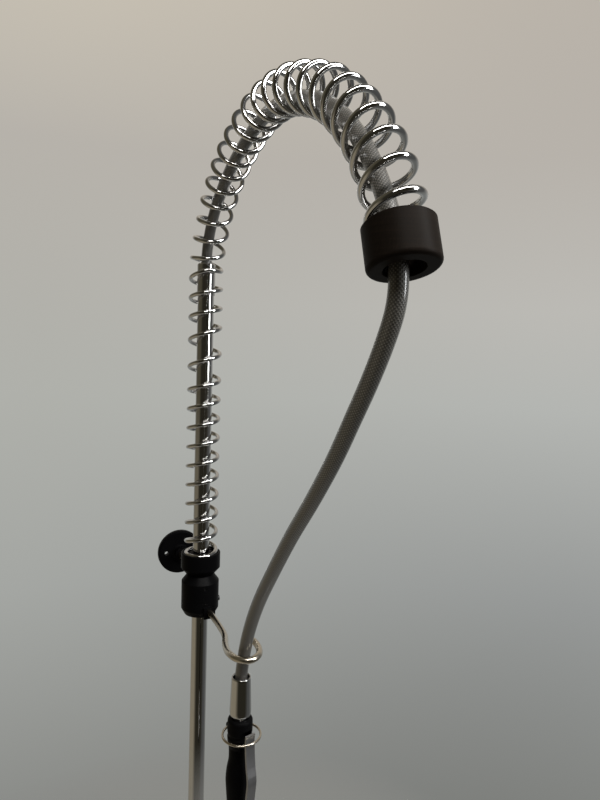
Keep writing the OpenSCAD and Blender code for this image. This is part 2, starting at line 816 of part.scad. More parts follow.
module at_cap() {
    translate(cap_centre) rotate([-cap_tilt, 0, 0]) children();
}

module spring_end_cap() {
    foot = -cap_h / 2;
    seat = foot + cap_floor;
    wall_r = coil_r + wire_r + groove_gap;
    round_r = 3;
    color("#1a1817")
        at_cap()
            lathe(concat(
                [[cap_hole_r, foot]],
                [
                    for (a = [-90 : 15 : 0])
                        [cap_r - round_r + round_r * cos(a), foot + round_r + round_r * sin(a)]
                ],
                [
                    [cap_r, -foot - 0.8], [cap_r - 0.8, -foot], [wall_r, -foot],
                    [wall_r, seat], [cap_hole_r, seat]
                ]
            ));
}

module hook_ring() {
    boss_w = 14;
    screw_z = hook_ring_top - 4;
    rod_z = collar_z + hook_points[0][2];
    color("#1c1c1e")
        difference() {
            union() {
                lathe([
                    [0, hook_ring_z], [collar_r - hook_ring_slope, hook_ring_z],
                    [collar_r, hook_ring_z + 1.75 * hook_ring_slope], [collar_r, hook_ring_top],
                    [0, hook_ring_top]
                ]);
                translate([boss_mid_x - boss_w / 2, boss_front_y, hook_ring_z])
                    cube([boss_w, -boss_front_y - riser_r, rod_z - hook_ring_z + rod_r + 2]);
            }
            translate([0, 0, hook_ring_z - over]) cylinder(h = hook_ring_h + 2 * over, r = riser_r + run_gap);
            translate([boss_mid_x, hook_points[0][1] + 0.1, rod_z])
                rotate([90, 0, 0]) cylinder(h = 2 * collar_r, r = rod_r + fit_gap);
            drill([0, 0, screw_z], [2 * collar_r, 0, screw_z], grub_r + fit_gap);
        }
}

module hook_ring_screw() {
    head_r = 3.2;
    head_t = 1.6;
    color("#404044")
        translate([riser_r + 2 * run_gap, 0, hook_ring_top - 4])
            rotate([0, 90, 0]) {
                cylinder(h = collar_r - riser_r - 2 * run_gap + 0.4, r = grub_r);
                translate([0, 0, collar_r - riser_r - 2 * run_gap + 0.3]) cylinder(h = head_t, r = head_r);
            }
}

module hose_hook() {
    route = smooth([for (p = hook_points) p + [0, 0, collar_z]], 3);
    color("#b4aa98") swept(route, [for (p = route) [0, 0, 1]], rod_r, 12);
}

// Hose: one tube from the sleeve on the riser to the gun's cone nut
hose_route = concat(
    [[0, 0, tail_top + touch_gap], [0, 0, tail_top + straight_lead]],
    [for (p = hose_arch_points) [0, p[0], p[1] + sleeve_top]],
    [for (p = hose_free_points) [0, p[0], p[1] + collar_z]],
    [for (z = [cone_top + 1, nut_shoulder + straight_lead, nut_shoulder + touch_gap]) [0, -gun_y, z]]
);

module hose() {
    rings = smooth(hose_route, 2);
    lengths = [for (i = [0 : len(rings) - 2]) norm(rings[i + 1] - rings[i])];
    echo(str("hose length ", sum_to(lengths, len(lengths)), " mm"));
    color("#8c8882") swept(rings, [for (p = rings) [1, 0, 0]], hose_r, 10);
}

// Gun: drawn about its own axis with the lever towards +X, then turned and set in place
module at_gun() {
    translate([0, -gun_y, 0]) rotate([0, 0, lever_az]) children();
}

module lower_hose_tail() {
    color("#b89a5a") translate([0, -gun_y, 0]) ring_of(chamber_r - run_gap, core_bore_r, tail_z, gun_tail_t);
}

module hose_cone_nut() {
    flare_r = lip_bore_r + 1.5;
    flare_l = 8;
    color("#d8d8dc")
        at_gun()
            lathe([
                [flare_r, cone_top], [cone_top_r - 0.5, cone_top], [cone_top_r, cone_top - 0.5],
                [cone_r, cone_z + 11], [cone_r - 0.25, cone_z + 8.5], [cone_r - 0.9, cone_z + 6.5],
                [nut_neck_r, cone_z + 5], [nut_neck_r, cone_z], [chamber_r, cone_z],
                [chamber_r, nut_shoulder + run_gap], [lip_bore_r, nut_shoulder + run_gap],
                [lip_bore_r, cone_top - flare_l]
            ]);
}

module gun_washer() {
    color("#303030") at_gun() ring_of(chamber_r - run_gap, core_bore_r, core_top, seal_t);
}

module grip_core() {
    color("#d8d8dc")
        at_gun()
            lathe([
                [core_bore_r, core_foot], [core_r, core_foot], [core_r, grip_top],
                [core_flange_r, grip_top], [core_flange_r, cone_z], [chamber_r - fit_gap, cone_z],
                [chamber_r - fit_gap, core_top], [core_bore_r, core_top]
            ]);
}

module grip_collar() {
    foot = grip_collar_z;
    slot_u = core_r + 0.7;
    slot_w = lever_w + 1.4;
    slot_h = grip_collar_h - 1.2;
    lip_top = cone_z + 3.6;
    rim = grip_collar_r;
    groove_z = foot + 12.4;
    flange_bore = core_flange_r + fit_gap;
    color("#161617")
        at_gun()
            difference() {
                union() {
                    lathe([
                        [0, foot], [rim - 2.3, foot], [rim - 0.5, foot + 6], [rim - 0.1, groove_z - 1.4],
                        [rim - 0.8, groove_z], [rim - 0.8, groove_z + 2], [rim - 0.2, groove_z + 3.6],
                        [rim, foot + grip_collar_h], [rim - 0.2, lip_top - 2.2],
                        [rim - 0.9, lip_top - 0.7], [rim - 1.9, lip_top], [nut_neck_r + face_gap, lip_top],
                        [nut_neck_r + face_gap, cone_z + fit_gap], [flange_bore, cone_z + fit_gap],
                        [flange_bore, foot + grip_collar_h], [0, foot + grip_collar_h]
                    ]);
                    translate([lug_u, 0, ring_z])
                        rotate([90, 0, 0]) cylinder(h = lug_w, r = lug_r, center = true);
                    translate([lug_u, -lug_w / 2, ring_z - lug_r]) cube([-lug_u - core_r, lug_w, 2 * lug_r]);
                }
                translate([0, 0, foot - over]) cylinder(h = grip_collar_h + 2 * over, r = core_r + fit_gap);
                translate([lug_u, 0, ring_z])
                    rotate([90, 0, 0]) cylinder(h = 2 * lug_w, r = ring_wire_r + 0.5, center = true);
                translate([slot_u, -slot_w / 2, foot - over])
                    cube([2 * core_flange_r, slot_w, slot_h + over]);
            }
}

module grip_cover() {
    outline = smooth([for (p = grip_points) [p[0], p[1] * grip_l]], 3);
    color("#121213")
        at_gun()
            difference() {
                translate([grip_shift, 0, grip_z])
                    lathe(concat([[0, 0]], outline, [[0, grip_l]]));
                translate([0, 0, grip_z - over]) cylinder(h = grip_l + 2 * over, r = core_r + fit_gap);
            }
}

module hold_ring() {
    color("#b4aa98")
        at_gun()
            translate([ring_u, 0, ring_z])
                rotate_extrude() translate([ring_r, 0]) circle(r = ring_wire_r, $fn = 24);
}

module at_head() {
    translate([outlet_u, 0, head_z]) rotate([0, 180 - head_tilt, 0]) children();
}

module stem_line(u, r, l) {
    translate([u, 0, stem_z]) rotate([0, 90, 0]) cylinder(h = l, r = r);
}

module valve_body() {
    barrel_r = 12.5;
    neck_r_head = 7.3;
    root_r = neck_r_head + 1;
    boss_h = 8;
    color("#d8d8dc")
        at_gun()
            difference() {
                union() {
                    translate([0, 0, stem_z]) cylinder(h = grip_z - stem_z, r = barrel_r);
                    stem_line(chamber_end, cross_r, cross_face - chamber_end);
                    translate([outlet_u, 0, head_z]) cylinder(h = stem_z - head_z, r = neck_r_head);
                    translate([outlet_u, 0, head_z]) sphere(r = root_r);
                    translate([outlet_u, -boss_w / 2, pivot_z - boss_h / 2])
                        cube([pivot_u - outlet_u, boss_w, boss_h]);
                    translate([pivot_u, 0, pivot_z])
                        rotate([90, 0, 0]) cylinder(h = boss_w, r = boss_h / 2, center = true);
                    at_head()
                        lathe([
                            [0, 0], [neck_r_head, 0], [neck_r_head, 5], [neck_r_head + 3, 10],
                            [bell_r, face_seat - 1],
                            [bell_r, bell_depth], [0, bell_depth]
                        ]);
                }
                translate([0, 0, core_foot]) cylinder(h = grip_z - core_foot + over, r = core_r + fit_gap);
                translate([0, 0, stem_z + seat_r]) cylinder(h = core_foot - stem_z, r = core_bore_r);
                stem_line(chamber_end - over, up_chamber_r, seat_u - chamber_end + over);
                stem_line(0, seat_r, cross_face);
                stem_line(seat_u + seat_t, down_chamber_r, cross_face);
                translate([outlet_u, 0, head_z - 4]) cylinder(h = stem_z - head_z + 4, r = outlet_r);
                translate([pivot_u, 0, pivot_z])
                    rotate([90, 0, 0]) cylinder(h = 2 * boss_w, r = pin_r + fit_gap, center = true);
                at_head()
                    lathe([
                        [0, 3], [outlet_r, 3], [outlet_r, 8], [face_r - 3, face_seat],
                        [face_r + fit_gap, face_seat],
                        [face_r + fit_gap, bell_depth + over], [0, bell_depth + over]
                    ]);
            }
}

module lever_pin() {
    span = boss_w + 2 * ear_t + 2;
    head_t = 1.4;
    color("#a8a8ac")
        at_gun()
            translate([pivot_u, 0, pivot_z])
                rotate([90, 0, 0]) {
                    cylinder(h = span, r = pin_r, center = true);
                    translate([0, 0, -span / 2 - head_t]) cylinder(h = head_t, r = pin_r + 1.2);
                }
}

// Lever: a bent sheet with two ears that straddle the boss on the valve body
module squeeze_lever() {
    inner = smooth(lever_points, 3);
    n = len(inner) - 1;
    outer = [
        for (i = [n : -1 : 0])
            let (t = unit(inner[min(i + 1, n)] - inner[max(i - 1, 0)])) inner[i] + lever_t * [t[1], -t[0]]
    ];
    ear_in = boss_w / 2 + face_gap;
    ear_r = 4.5;
    full_w = 2 * (ear_in + ear_t);
    bridge_z = lever_points[1][1];
    color("#9c9c9a")
        at_gun()
            translate([0, 0, pivot_z])
                difference() {
                    union() {
                        rotate([90, 0, 0])
                            linear_extrude(height = lever_w, center = true) polygon(concat(inner, outer));
                        for (side = [-1, 1])
                            translate([0, side * (ear_in + ear_t / 2), 0])
                                rotate([90, 0, 0])
                                    linear_extrude(height = ear_t, center = true)
                                        union() {
                                            translate([pivot_u, 0]) circle(r = ear_r);
                                            polygon([
                                                [pivot_u - 3, 0], [pivot_u + ear_r, 0],
                                                [lever_points[1][0] + lever_t, bridge_z],
                                                [lever_points[1][0] - 1.5, bridge_z]
                                            ]);
                                        }
                        translate([lever_points[0][0] - 0.4, -full_w / 2, lever_points[0][1] + 1])
                            cube([lever_t, full_w, bridge_z - lever_points[0][1] - 2]);
                    }
                    translate([pivot_u, 0, 0])
                        rotate([90, 0, 0]) cylinder(h = 2 * full_w, r = pin_r + run_gap, center = true);
                }
}

module valve_stem() {
    head_u = seat_u - 0.05 - washer_t - stem_head_t;
    dome = 1;
    color("#c0b070")
        at_gun() {
            stem_line(head_u - guide_l, guide_r, guide_l + 1);
            stem_line(head_u, stem_head_r, stem_head_t);
            stem_line(head_u, stem_r, stem_end - head_u - dome);
            translate([stem_end - dome, 0, stem_z])
                rotate([0, 90, 0]) cylinder(h = dome, r1 = stem_r, r2 = stem_r - dome);
        }
}

module along_stem() {
    translate([0, 0, stem_z]) rotate([0, 90, 0]) children();
}

module seat_washer() {
    color("#202020")
        at_gun() along_stem() ring_of(stem_head_r, stem_r + fit_gap, seat_u - 0.05 - washer_t, washer_t);
}

module stem_packing() {
    color("#202020")
        at_gun() along_stem()
            ring_of(down_chamber_r - fit_gap, stem_r + run_gap, gland_in - packing_t, packing_t);
}

module gland_nut() {
    hex_t = 3.6;
    color("#d8d8dc")
        at_gun() along_stem()
            difference() {
                union() {
                    translate([0, 0, gland_in])
                        cylinder(h = cross_face - gland_in + 0.5, r = down_chamber_r - fit_gap);
                    translate([0, 0, cross_face]) cylinder(h = hex_t, r = down_chamber_r + 2, $fn = 6);
                }
                translate([0, 0, gland_in - over]) cylinder(h = 2 * cross_face, r = stem_r + run_gap);
            }
}

module valve_spring() {
    turns = 5;
    per_turn = 8;
    spring_r = 4.3;
    spring_wire_r = 0.6;
    from = plug_face + spring_wire_r + 0.1;
    to = seat_u - 0.05 - washer_t - stem_head_t - spring_wire_r - 0.1;
    steps = turns * per_turn;
    spokes = [for (k = [0 : steps]) [0, cos(360 * k / per_turn), sin(360 * k / per_turn)]];
    points = [for (k = [0 : steps]) [from + (to - from) * k / steps, 0, stem_z] + spring_r * spokes[k]];
    color("#b8b8bc") at_gun() swept(points, spokes, spring_wire_r, 6);
}

module spring_plug() {
    hex_t = 4;
    color("#d8d8dc")
        at_gun() {
            stem_line(chamber_end, up_chamber_r - fit_gap, plug_face - chamber_end);
            translate([chamber_end - hex_t, 0, stem_z])
                rotate([0, 90, 0]) cylinder(h = hex_t, r = cross_r - 1, $fn = 6);
        }
}

module spray_face() {
    rows = [[5, 6], [10, 10], [14.5, 14]];
    color("#c8c8cc")
        at_gun() at_head()
            difference() {
                translate([0, 0, face_seat]) cylinder(h = bell_depth - face_seat, r = face_r);
                for (row = rows, k = [1 : row[1]])
                    rotate([0, 0, 360 * k / row[1]])
                        translate([row[0], 0, face_seat - over])
                            cylinder(h = bell_depth - face_seat + 2 * over, r = jet_r, $fn = 16);
            }
}

module spray_bumper() {
    out_r = bell_r + bumper_t;
    back = face_seat;
    front = bell_depth + bumper_lip;
    color("#2a2a2c")
        at_gun() at_head()
            lathe([
                [bell_r + fit_gap, back], [out_r - 2, back], [out_r, back + 2], [out_r, front - 2],
                [out_r - 2, front], [face_r - 1, front], [face_r - 2, front - 1.5], [face_r - 2, bell_depth],
                [bell_r + fit_gap, bell_depth]
            ]);
}

deck_gasket();
base_flange();
mixer_body();
mounting_shank();
check_valves();
rubber_clamp_washer();
steel_clamp_washer();
lock_nut();
hot_cartridge();
hot_spindle();
hot_handle();
hot_handle_screw();
hot_index_cap();
cold_cartridge();
cold_spindle();
cold_handle();
cold_handle_screw();
cold_index_cap();
riser_seal();
riser_union_nut();
riser_pipe();
riser_hose_seal();
riser_hose_sleeve();
bracket_ring();
bracket_set_screw();
wall_arm();
wall_disc();
wall_set_screw();
spring_holder();
overhead_spring();
spring_end_cap();
hook_ring();
hook_ring_screw();
hose_hook();
upper_hose_tail();
hose();
lower_hose_tail();
hose_cone_nut();
gun_washer();
grip_core();
grip_collar();
grip_cover();
hold_ring();
valve_body();
lever_pin();
squeeze_lever();
valve_stem();
seat_washer();
stem_packing();
gland_nut();
valve_spring();
spring_plug();
spray_face();
spray_bumper();
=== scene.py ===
"""Dresses a deck-mounted pre-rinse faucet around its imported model.

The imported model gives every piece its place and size. This script lays the hose, winds the overhead
spring, bends the hook rod, turns the cone nut, gives every surface its finish, and sets up the camera
and the studio.
"""

from __future__ import annotations

import json
import logging
import math
from dataclasses import dataclass, field
from enum import Enum
from typing import Any, Callable, Iterable, Sequence, Union

import bpy
from mathutils import Matrix, Vector

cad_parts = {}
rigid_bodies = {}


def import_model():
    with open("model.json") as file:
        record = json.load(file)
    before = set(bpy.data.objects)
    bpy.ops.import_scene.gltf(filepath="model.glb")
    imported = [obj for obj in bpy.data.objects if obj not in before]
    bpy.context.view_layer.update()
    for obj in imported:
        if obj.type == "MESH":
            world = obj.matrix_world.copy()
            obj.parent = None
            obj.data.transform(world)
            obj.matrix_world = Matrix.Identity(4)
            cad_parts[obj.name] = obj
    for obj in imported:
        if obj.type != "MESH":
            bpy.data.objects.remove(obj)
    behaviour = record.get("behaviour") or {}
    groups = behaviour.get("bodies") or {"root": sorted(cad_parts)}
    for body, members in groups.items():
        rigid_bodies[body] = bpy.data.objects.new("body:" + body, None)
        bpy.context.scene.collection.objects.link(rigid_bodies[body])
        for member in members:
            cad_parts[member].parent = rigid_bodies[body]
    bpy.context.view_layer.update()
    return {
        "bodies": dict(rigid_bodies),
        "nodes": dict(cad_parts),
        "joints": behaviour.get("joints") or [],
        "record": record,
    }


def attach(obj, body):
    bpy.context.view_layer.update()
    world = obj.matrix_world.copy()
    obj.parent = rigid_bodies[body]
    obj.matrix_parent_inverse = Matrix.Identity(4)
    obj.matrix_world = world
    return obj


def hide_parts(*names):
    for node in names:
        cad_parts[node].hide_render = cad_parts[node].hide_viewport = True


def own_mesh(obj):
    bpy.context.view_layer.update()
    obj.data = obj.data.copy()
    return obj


LOG = logging.getLogger("faucet")

MM = 0.001

# Places that several pieces share, in mm and degrees
COLLAR_Z = 545.0
SLEEVE_TOP = 957.0
GUN_Y = -154.0
GUN_FACING = -75.0
HOSE_END_Z = 497.0

Colour = tuple[float, float, float]
Point2 = tuple[float, float]
Point3 = tuple[float, float, float]


class Body(str, Enum):
    """The rigid bodies that the pieces made here ride on."""

    OVERHEAD = "overhead"
    GUN = "gun"


class Slot(str, Enum):
    """The record's material slots."""

    CHROME = "chrome"
    BRASS = "brass"
    STEEL = "steel"
    STAINLESS = "stainless_rod"
    SATIN_BLACK = "satin_black"
    MATTE_BLACK = "matte_black"
    RUBBER = "rubber"
    HOSE = "hose_pvc"
    SATIN_GREY = "satin_grey"
    BLUE = "blue_plastic"
    RED = "red_plastic"


class Value:
    """A shader socket that takes part in Python arithmetic."""

    def __init__(self, nodes: "ShaderNodes", socket: bpy.types.NodeSocket) -> None:
        """Wraps one output socket of a tree."""
        self.nodes = nodes
        self.socket = socket

    def _math(self, operation: str, first: Any, second: Any = None) -> "Value":
        """Adds one Math node.

        Args:
            operation: The Math node's operation.
            first: Its first input, a number or a value.
            second: Its second input, if the operation has one.

        Returns:
            The node's output.
        """
        inputs = {0: first} if second is None else {0: first, 1: second}
        return self.nodes.value("ShaderNodeMath", {"operation": operation}, inputs)

    def __add__(self, other: Any) -> "Value":
        """Sum."""
        return self._math("ADD", self, other)

    __radd__ = __add__

    def __sub__(self, other: Any) -> "Value":
        """Difference."""
        return self._math("SUBTRACT", self, other)

    def __rsub__(self, other: Any) -> "Value":
        """Difference from a number."""
        return self._math("SUBTRACT", other, self)

    def __mul__(self, other: Any) -> "Value":
        """Product."""
        return self._math("MULTIPLY", self, other)

    __rmul__ = __mul__

    def __pow__(self, other: Any) -> "Value":
        """Power."""
        return self._math("POWER", self, other)

    def __rpow__(self, other: Any) -> "Value":
        """Power of a number."""
        return self._math("POWER", other, self)

    def sine(self) -> "Value":
        """Sine of an angle in radians."""
        return self._math("SINE", self)

    def at_least(self, other: Any) -> "Value":
        """The larger of two values."""
        return self._math("MAXIMUM", self, other)

    def clamped(self) -> "Value":
        """The value held between 0 and 1."""
        return self.nodes.value("ShaderNodeClamp", {}, {"Value": self}, "Result")

    def ramp(self, start: float, rise: float) -> "Value":
        """0 at a start, and from there up to 1 at a rise, which may be below 0."""
        return ((self - start) * rise).clamped()

    def split(self, rise: float) -> "Value":
        """0 on one side of zero and 1 on the other, with a soft change between."""
        return (self * rise + 0.5).clamped()


class ShaderNodes:
    """Builds the nodes of one material, world or winding tree."""

    def __init__(self, tree: bpy.types.NodeTree) -> None:
        """Starts on an emptied tree."""
        self.tree = tree
        tree.nodes.clear()

    def add(
        self,
        kind: str,
        settings: dict[str, Any] | None = None,
        inputs: dict[Union[str, int], Any] | None = None,
    ) -> bpy.types.Node:
        """Creates one node.

        Args:
            kind: The node's type.
            settings: Its settings, such as an operation, or "stops" for a ramp's stops.
            inputs: Values or links for its sockets, by name or number.

        Returns:
            The new node.
        """
        node = self.tree.nodes.new(kind)
        for name, setting in (settings or {}).items():
            if name == "stops":
                self._set_stops(node.color_ramp, setting)
            else:
                setattr(node, name, setting)
        for name, given in (inputs or {}).items():
            if isinstance(given, Value):
                self.tree.links.new(given.socket, node.inputs[name])
            elif isinstance(given, bpy.types.NodeSocket):
                self.tree.links.new(given, node.inputs[name])
            else:
                node.inputs[name].default_value = given
        return node

    @staticmethod
    def _set_stops(ramp: bpy.types.ColorRamp, stops: Sequence[tuple[float, Colour]]) -> None:
        """Gives a ramp its stops.

        Args:
            ramp: The ramp.
            stops: A place and a colour for each stop.
        """
        while len(ramp.elements) < len(stops):
            ramp.elements.new(0.5)
        for element, (place, colour) in zip(ramp.elements, stops):
            element.position = place
            element.color = (*colour, 1.0)

    def value(
        self,
        kind: str,
        settings: dict[str, Any] | None = None,
        inputs: dict[Union[str, int], Any] | None = None,
        output: Union[str, int] = 0,
    ) -> Value:
        """Creates one node and wraps one of its outputs.

        Args:
            kind: The node's type.
            settings: As for add.
            inputs: As for add.
            output: The output's name or number.

        Returns:
            The wrapped output.
        """
        return Value(self, self.add(kind, settings, inputs).outputs[output])

    def place(self, scale: Point3 = (1.0, 1.0, 1.0)) -> Value:
        """The surface's own coordinates, stretched by a factor along each axis."""
        spot = self.value("ShaderNodeTexCoord", {}, {}, "Object")
        return self.value("ShaderNodeMapping", {}, {"Vector": spot, "Scale": scale})

    def noise(self, scale: float, detail: float, at: Value | None = None) -> Value:
        """Fractal noise between 0 and 1.

        Args:
            scale: Number of features to a metre.
            detail: Octaves.
            at: Where it is read, the surface's own coordinates if left out.

        Returns:
            The noise.
        """
        spot = at if at is not None else self.place()
        return self.value("ShaderNodeTexNoise", {}, {"Vector": spot, "Scale": scale, "Detail": detail})

    def blend(self, share: Value, low: Any, high: Any) -> Value:
        """Mixes two colours.

        Args:
            share: 0 for the first colour, 1 for the second.
            low: The first colour.
            high: The second colour.

        Returns:
            The mixed colour.
        """
        inputs = {0: share, 6: _rgba(low), 7: _rgba(high)}
        return self.value("ShaderNodeMix", {"data_type": "RGBA"}, inputs, 2)

    def bump(self, height: Value, strength: float, depth: float, base: Value | None = None) -> Value:
        """Turns a height into a normal.

        Args:
            height: The height, between 0 and 1.
            strength: How much of it shows.
            depth: The height of 1, in metres.
            base: The normal that it is laid over.

        Returns:
            The normal.
        """
        inputs: dict[Union[str, int], Any] = {"Height": height, "Strength": strength, "Distance": depth}
        if base is not None:
            inputs["Normal"] = base
        return self.value("ShaderNodeBump", {}, inputs, "Normal")

    def eased_edges(self, radius: float) -> Value:
        """A normal that rounds off sharp edges by a radius in metres."""
        return self.value("ShaderNodeBevel", {"samples": 4}, {"Radius": radius}, "Normal")


def _rgba(colour: Any) -> Any:
    """A colour with its alpha, or a value as it is."""
    return colour if isinstance(colour, Value) else (*colour, 1.0)


@dataclass(frozen=True)
class Finish:
    """One finish: a name, a slot and how its surface is shaded."""

    name: str
    slot: Slot
    colour: Colour
    roughness: float

    def material(self) -> bpy.types.Material:
        """The finish's material, made on first use.

        Returns:
            The material.
        """
        made = bpy.data.materials.get(self.name)
        if made is None:
            made = bpy.data.materials.new(self.name)
            made.use_nodes = True
            nodes = ShaderNodes(made.node_tree)
            shader = nodes.add("ShaderNodeBsdfPrincipled", {}, {"Roughness": self.roughness})
            nodes.add("ShaderNodeOutputMaterial", {}, {"Surface": shader.outputs[0]})
            self.shade(nodes, shader)
        return made

    def shade(self, nodes: ShaderNodes, shader: bpy.types.Node) -> None:
        """Links the finish's patterns to its shader."""
        raise NotImplementedError

    def scaled(self, *factors: float) -> Colour:
        """The finish's colour made lighter or darker.

        Args:
            factors: One factor, or one for each channel.

        Returns:
            The new colour, held to 1.
        """
        each = factors * 3 if len(factors) == 1 else factors
        return tuple(min(1.0, c * f) for c, f in zip(self.colour, each))

    @staticmethod
    def link(nodes: ShaderNodes, shader: bpy.types.Node, **values: Value) -> None:
        """Links values to the shader's sockets, named with _ for spaces."""
        for name, given in values.items():
            nodes.tree.links.new(given.socket, shader.inputs[name.replace("_", " ").title()])


@dataclass(frozen=True)
class PolishedMetal(Finish):
    """Plated or polished metal with faint water marks and hairlines."""

    spots: float = 0.05
    hairline: float = 0.02
    mark_scale: float = 90.0
    mark_ramp: Point2 = (0.52, 6.0)
    mark_share: float = 0.5
    mark_tone: float = 0.93
    line_scale: float = 1400.0
    line_stretch: Point3 = (1.0, 1.0, 0.06)

    def shade(self, nodes: ShaderNodes, shader: bpy.types.Node) -> None:
        """Metal whose gloss varies a little from spot to spot.

        Args:
            nodes: The material's nodes.
            shader: Its shader.
        """
        shader.inputs["Metallic"].default_value = 1.0
        dull = nodes.noise(self.mark_scale, 4.0).ramp(*self.mark_ramp)
        fine = nodes.noise(self.line_scale, 2.0, nodes.place(self.line_stretch))
        tone = nodes.blend(dull * self.mark_share, self.colour, self.scaled(self.mark_tone))
        rough = dull * self.spots + fine * self.hairline + self.roughness
        self.link(nodes, shader, base_color=tone, roughness=rough)


@dataclass(frozen=True)
class MachinedMetal(Finish):
    """Plain metal with turning marks and handling."""

    blotch_scale: float = 70.0
    blotch_tone: float = 0.82
    blotch_rough: float = 0.1
    grain_scale: float = 900.0
    grain_stretch: Point3 = (1.0, 1.0, 3.0)
    grain_rough: float = 0.16
    grain_bump: float = 0.12
    grain_depth: float = 0.2 * MM

    def shade(self, nodes: ShaderNodes, shader: bpy.types.Node) -> None:
        """Metal with a fine grain and blotches.

        Args:
            nodes: The material's nodes.
            shader: Its shader.
        """
        shader.inputs["Metallic"].default_value = 1.0
        blotch = nodes.noise(self.blotch_scale, 4.0)
        grain = nodes.noise(self.grain_scale, 2.0, nodes.place(self.grain_stretch))
        tone = nodes.blend(blotch, self.scaled(self.blotch_tone), self.colour)
        rough = grain * self.grain_rough + blotch * self.blotch_rough + self.roughness
        normal = nodes.bump(grain, self.grain_bump, self.grain_depth)
        self.link(nodes, shader, base_color=tone, roughness=rough, normal=normal)


@dataclass(frozen=True)
class Plastic(Finish):
    """Plastic with a fine grain and eased edges that catch the light."""

    grain: float = 0.2
    edge: float = 0.6 * MM
    sheen: float = 0.07

    def cover(
        self,
        nodes: ShaderNodes,
        shader: bpy.types.Node,
        tone: Value,
        rough: Value,
        height: Value,
        depth: float,
    ) -> None:
        """Links a pattern to the shader, with its grain laid over eased edges.

        Args:
            nodes: The material's nodes.
            shader: Its shader.
            tone: The pattern's colour.
            rough: Its roughness.
            height: Its grain, between 0 and 1.
            depth: The grain's height of 1, in metres.
        """
        shader.inputs["Specular IOR Level"].default_value = self.sheen
        normal = nodes.bump(height, self.grain, depth, nodes.eased_edges(self.edge))
        self.link(nodes, shader, base_color=tone, roughness=rough, normal=normal)


@dataclass(frozen=True)
class MouldedPlastic(Plastic):
    """Moulded plastic with worn patches."""

    worn: float = 1.6
    patch_scale: float = 45.0
    patch_power: float = 2.0
    patch_rough: float = 0.14
    grain_scale: float = 2600.0
    grain_rough: float = 0.08
    grain_depth: float = 0.15 * MM
    least_rough: float = -0.1

    def shade(self, nodes: ShaderNodes, shader: bpy.types.Node) -> None:
        """Plastic that is paler and duller in patches.

        Args:
            nodes: The material's nodes.
            shader: Its shader.
        """
        patch = nodes.noise(self.patch_scale, 5.0)
        grain = nodes.noise(self.grain_scale, 2.0)
        tone = nodes.blend(patch**self.patch_power, self.colour, self.scaled(self.worn))
        base = self.roughness + self.least_rough
        rough = patch * self.patch_rough + grain * self.grain_rough + base
        self.cover(nodes, shader, tone, rough, grain, self.grain_depth)


@dataclass(frozen=True)
class TurnedPlastic(Plastic):
    """Plastic turned on a lathe, with fine upright streaks: real turning marks in gloss and bump, with a
    painted sheen that lightens and warms their colour.
    """

    # painted sheen: the tint and the strength of the lighter, warmer colour painted into the streaks
    warm: Colour = (2.3, 2.0, 1.8)
    painted_sheen_share: float = 1.6
    streak_scale: float = 1500.0
    streak_stretch: Point3 = (1.0, 1.0, 0.05)
    streak_rough: float = 0.16
    streak_height: float = 0.6
    ring_scale: float = 900.0
    ring_stretch: Point3 = (0.02, 0.02, 1.0)
    ring_rough: float = 0.1
    ring_height: float = 0.4
    grain_depth: float = 0.2 * MM
    least_rough: float = -0.12

    def shade(self, nodes: ShaderNodes, shader: bpy.types.Node) -> None:
        """Plastic with streaks along its axis and a faint warm painted sheen laid into the colour of the
        streaks.

        Args:
            nodes: The material's nodes.
            shader: Its shader.
        """
        streak = nodes.noise(self.streak_scale, 3.0, nodes.place(self.streak_stretch))
        ring = nodes.noise(self.ring_scale, 2.0, nodes.place(self.ring_stretch))
        # painted sheen: where the streak and ring noises are both high, the base colour is lifted
        # towards a lighter warm tint
        tone = nodes.blend(streak * ring * self.painted_sheen_share, self.colour, self.scaled(*self.warm))
        base = self.roughness + self.least_rough
        rough = streak * self.streak_rough + ring * self.ring_rough + base
        height = streak * self.streak_height + ring * self.ring_height
        self.cover(nodes, shader, tone, rough, height, self.grain_depth)


@dataclass(frozen=True)
class BraidedSleeve(Finish):
    """Clear glossy sleeve over a braid of fine strands."""

    bright: Colour = (0.18, 0.17, 0.152)
    strands: int = 16
    lay: float = 40.0 * MM
    coat_rough: float = 0.18
    coat_ior: float = 1.5
    knot_power: float = 1.5
    knot_share: float = 1.2
    haze_scale: float = 60.0
    haze_share: float = 0.12
    gap_rough: float = 0.25
    weave_bump: float = 0.6
    weave_depth: float = 0.3 * MM

    def shade(self, nodes: ShaderNodes, shader: bpy.types.Node) -> None:
        """Two families of strands that cross, under a clear coat.

        Args:
            nodes: The material's nodes.
            shader: Its shader.
        """
        coat = {"Coat Weight": 1.0, "Coat Roughness": self.coat_rough, "Coat IOR": self.coat_ior}
        for name, given in coat.items():
            shader.inputs[name].default_value = given
        spot = nodes.value("ShaderNodeUVMap", {"uv_map": MeshMaker.RUN_MAP}, {})
        parts = nodes.add("ShaderNodeSeparateXYZ", {}, {0: spot})
        around = Value(nodes, parts.outputs[0]) * (math.tau * self.strands)
        along = Value(nodes, parts.outputs[1]) * (math.tau * self.strands / self.lay)
        left = (around + along).sine() * 0.5 + 0.5
        right = (around - along).sine() * 0.5 + 0.5
        knot = (left * right) ** self.knot_power
        haze = nodes.noise(self.haze_scale, 4.0)
        share = (knot * self.knot_share + haze * self.haze_share).clamped()
        tone = nodes.blend(share, self.colour, self.bright)
        rough = (1.0 - knot) * self.gap_rough + self.roughness
        normal = nodes.bump(left.at_least(right), self.weave_bump, self.weave_depth)
        self.link(nodes, shader, base_color=tone, roughness=rough, normal=normal)


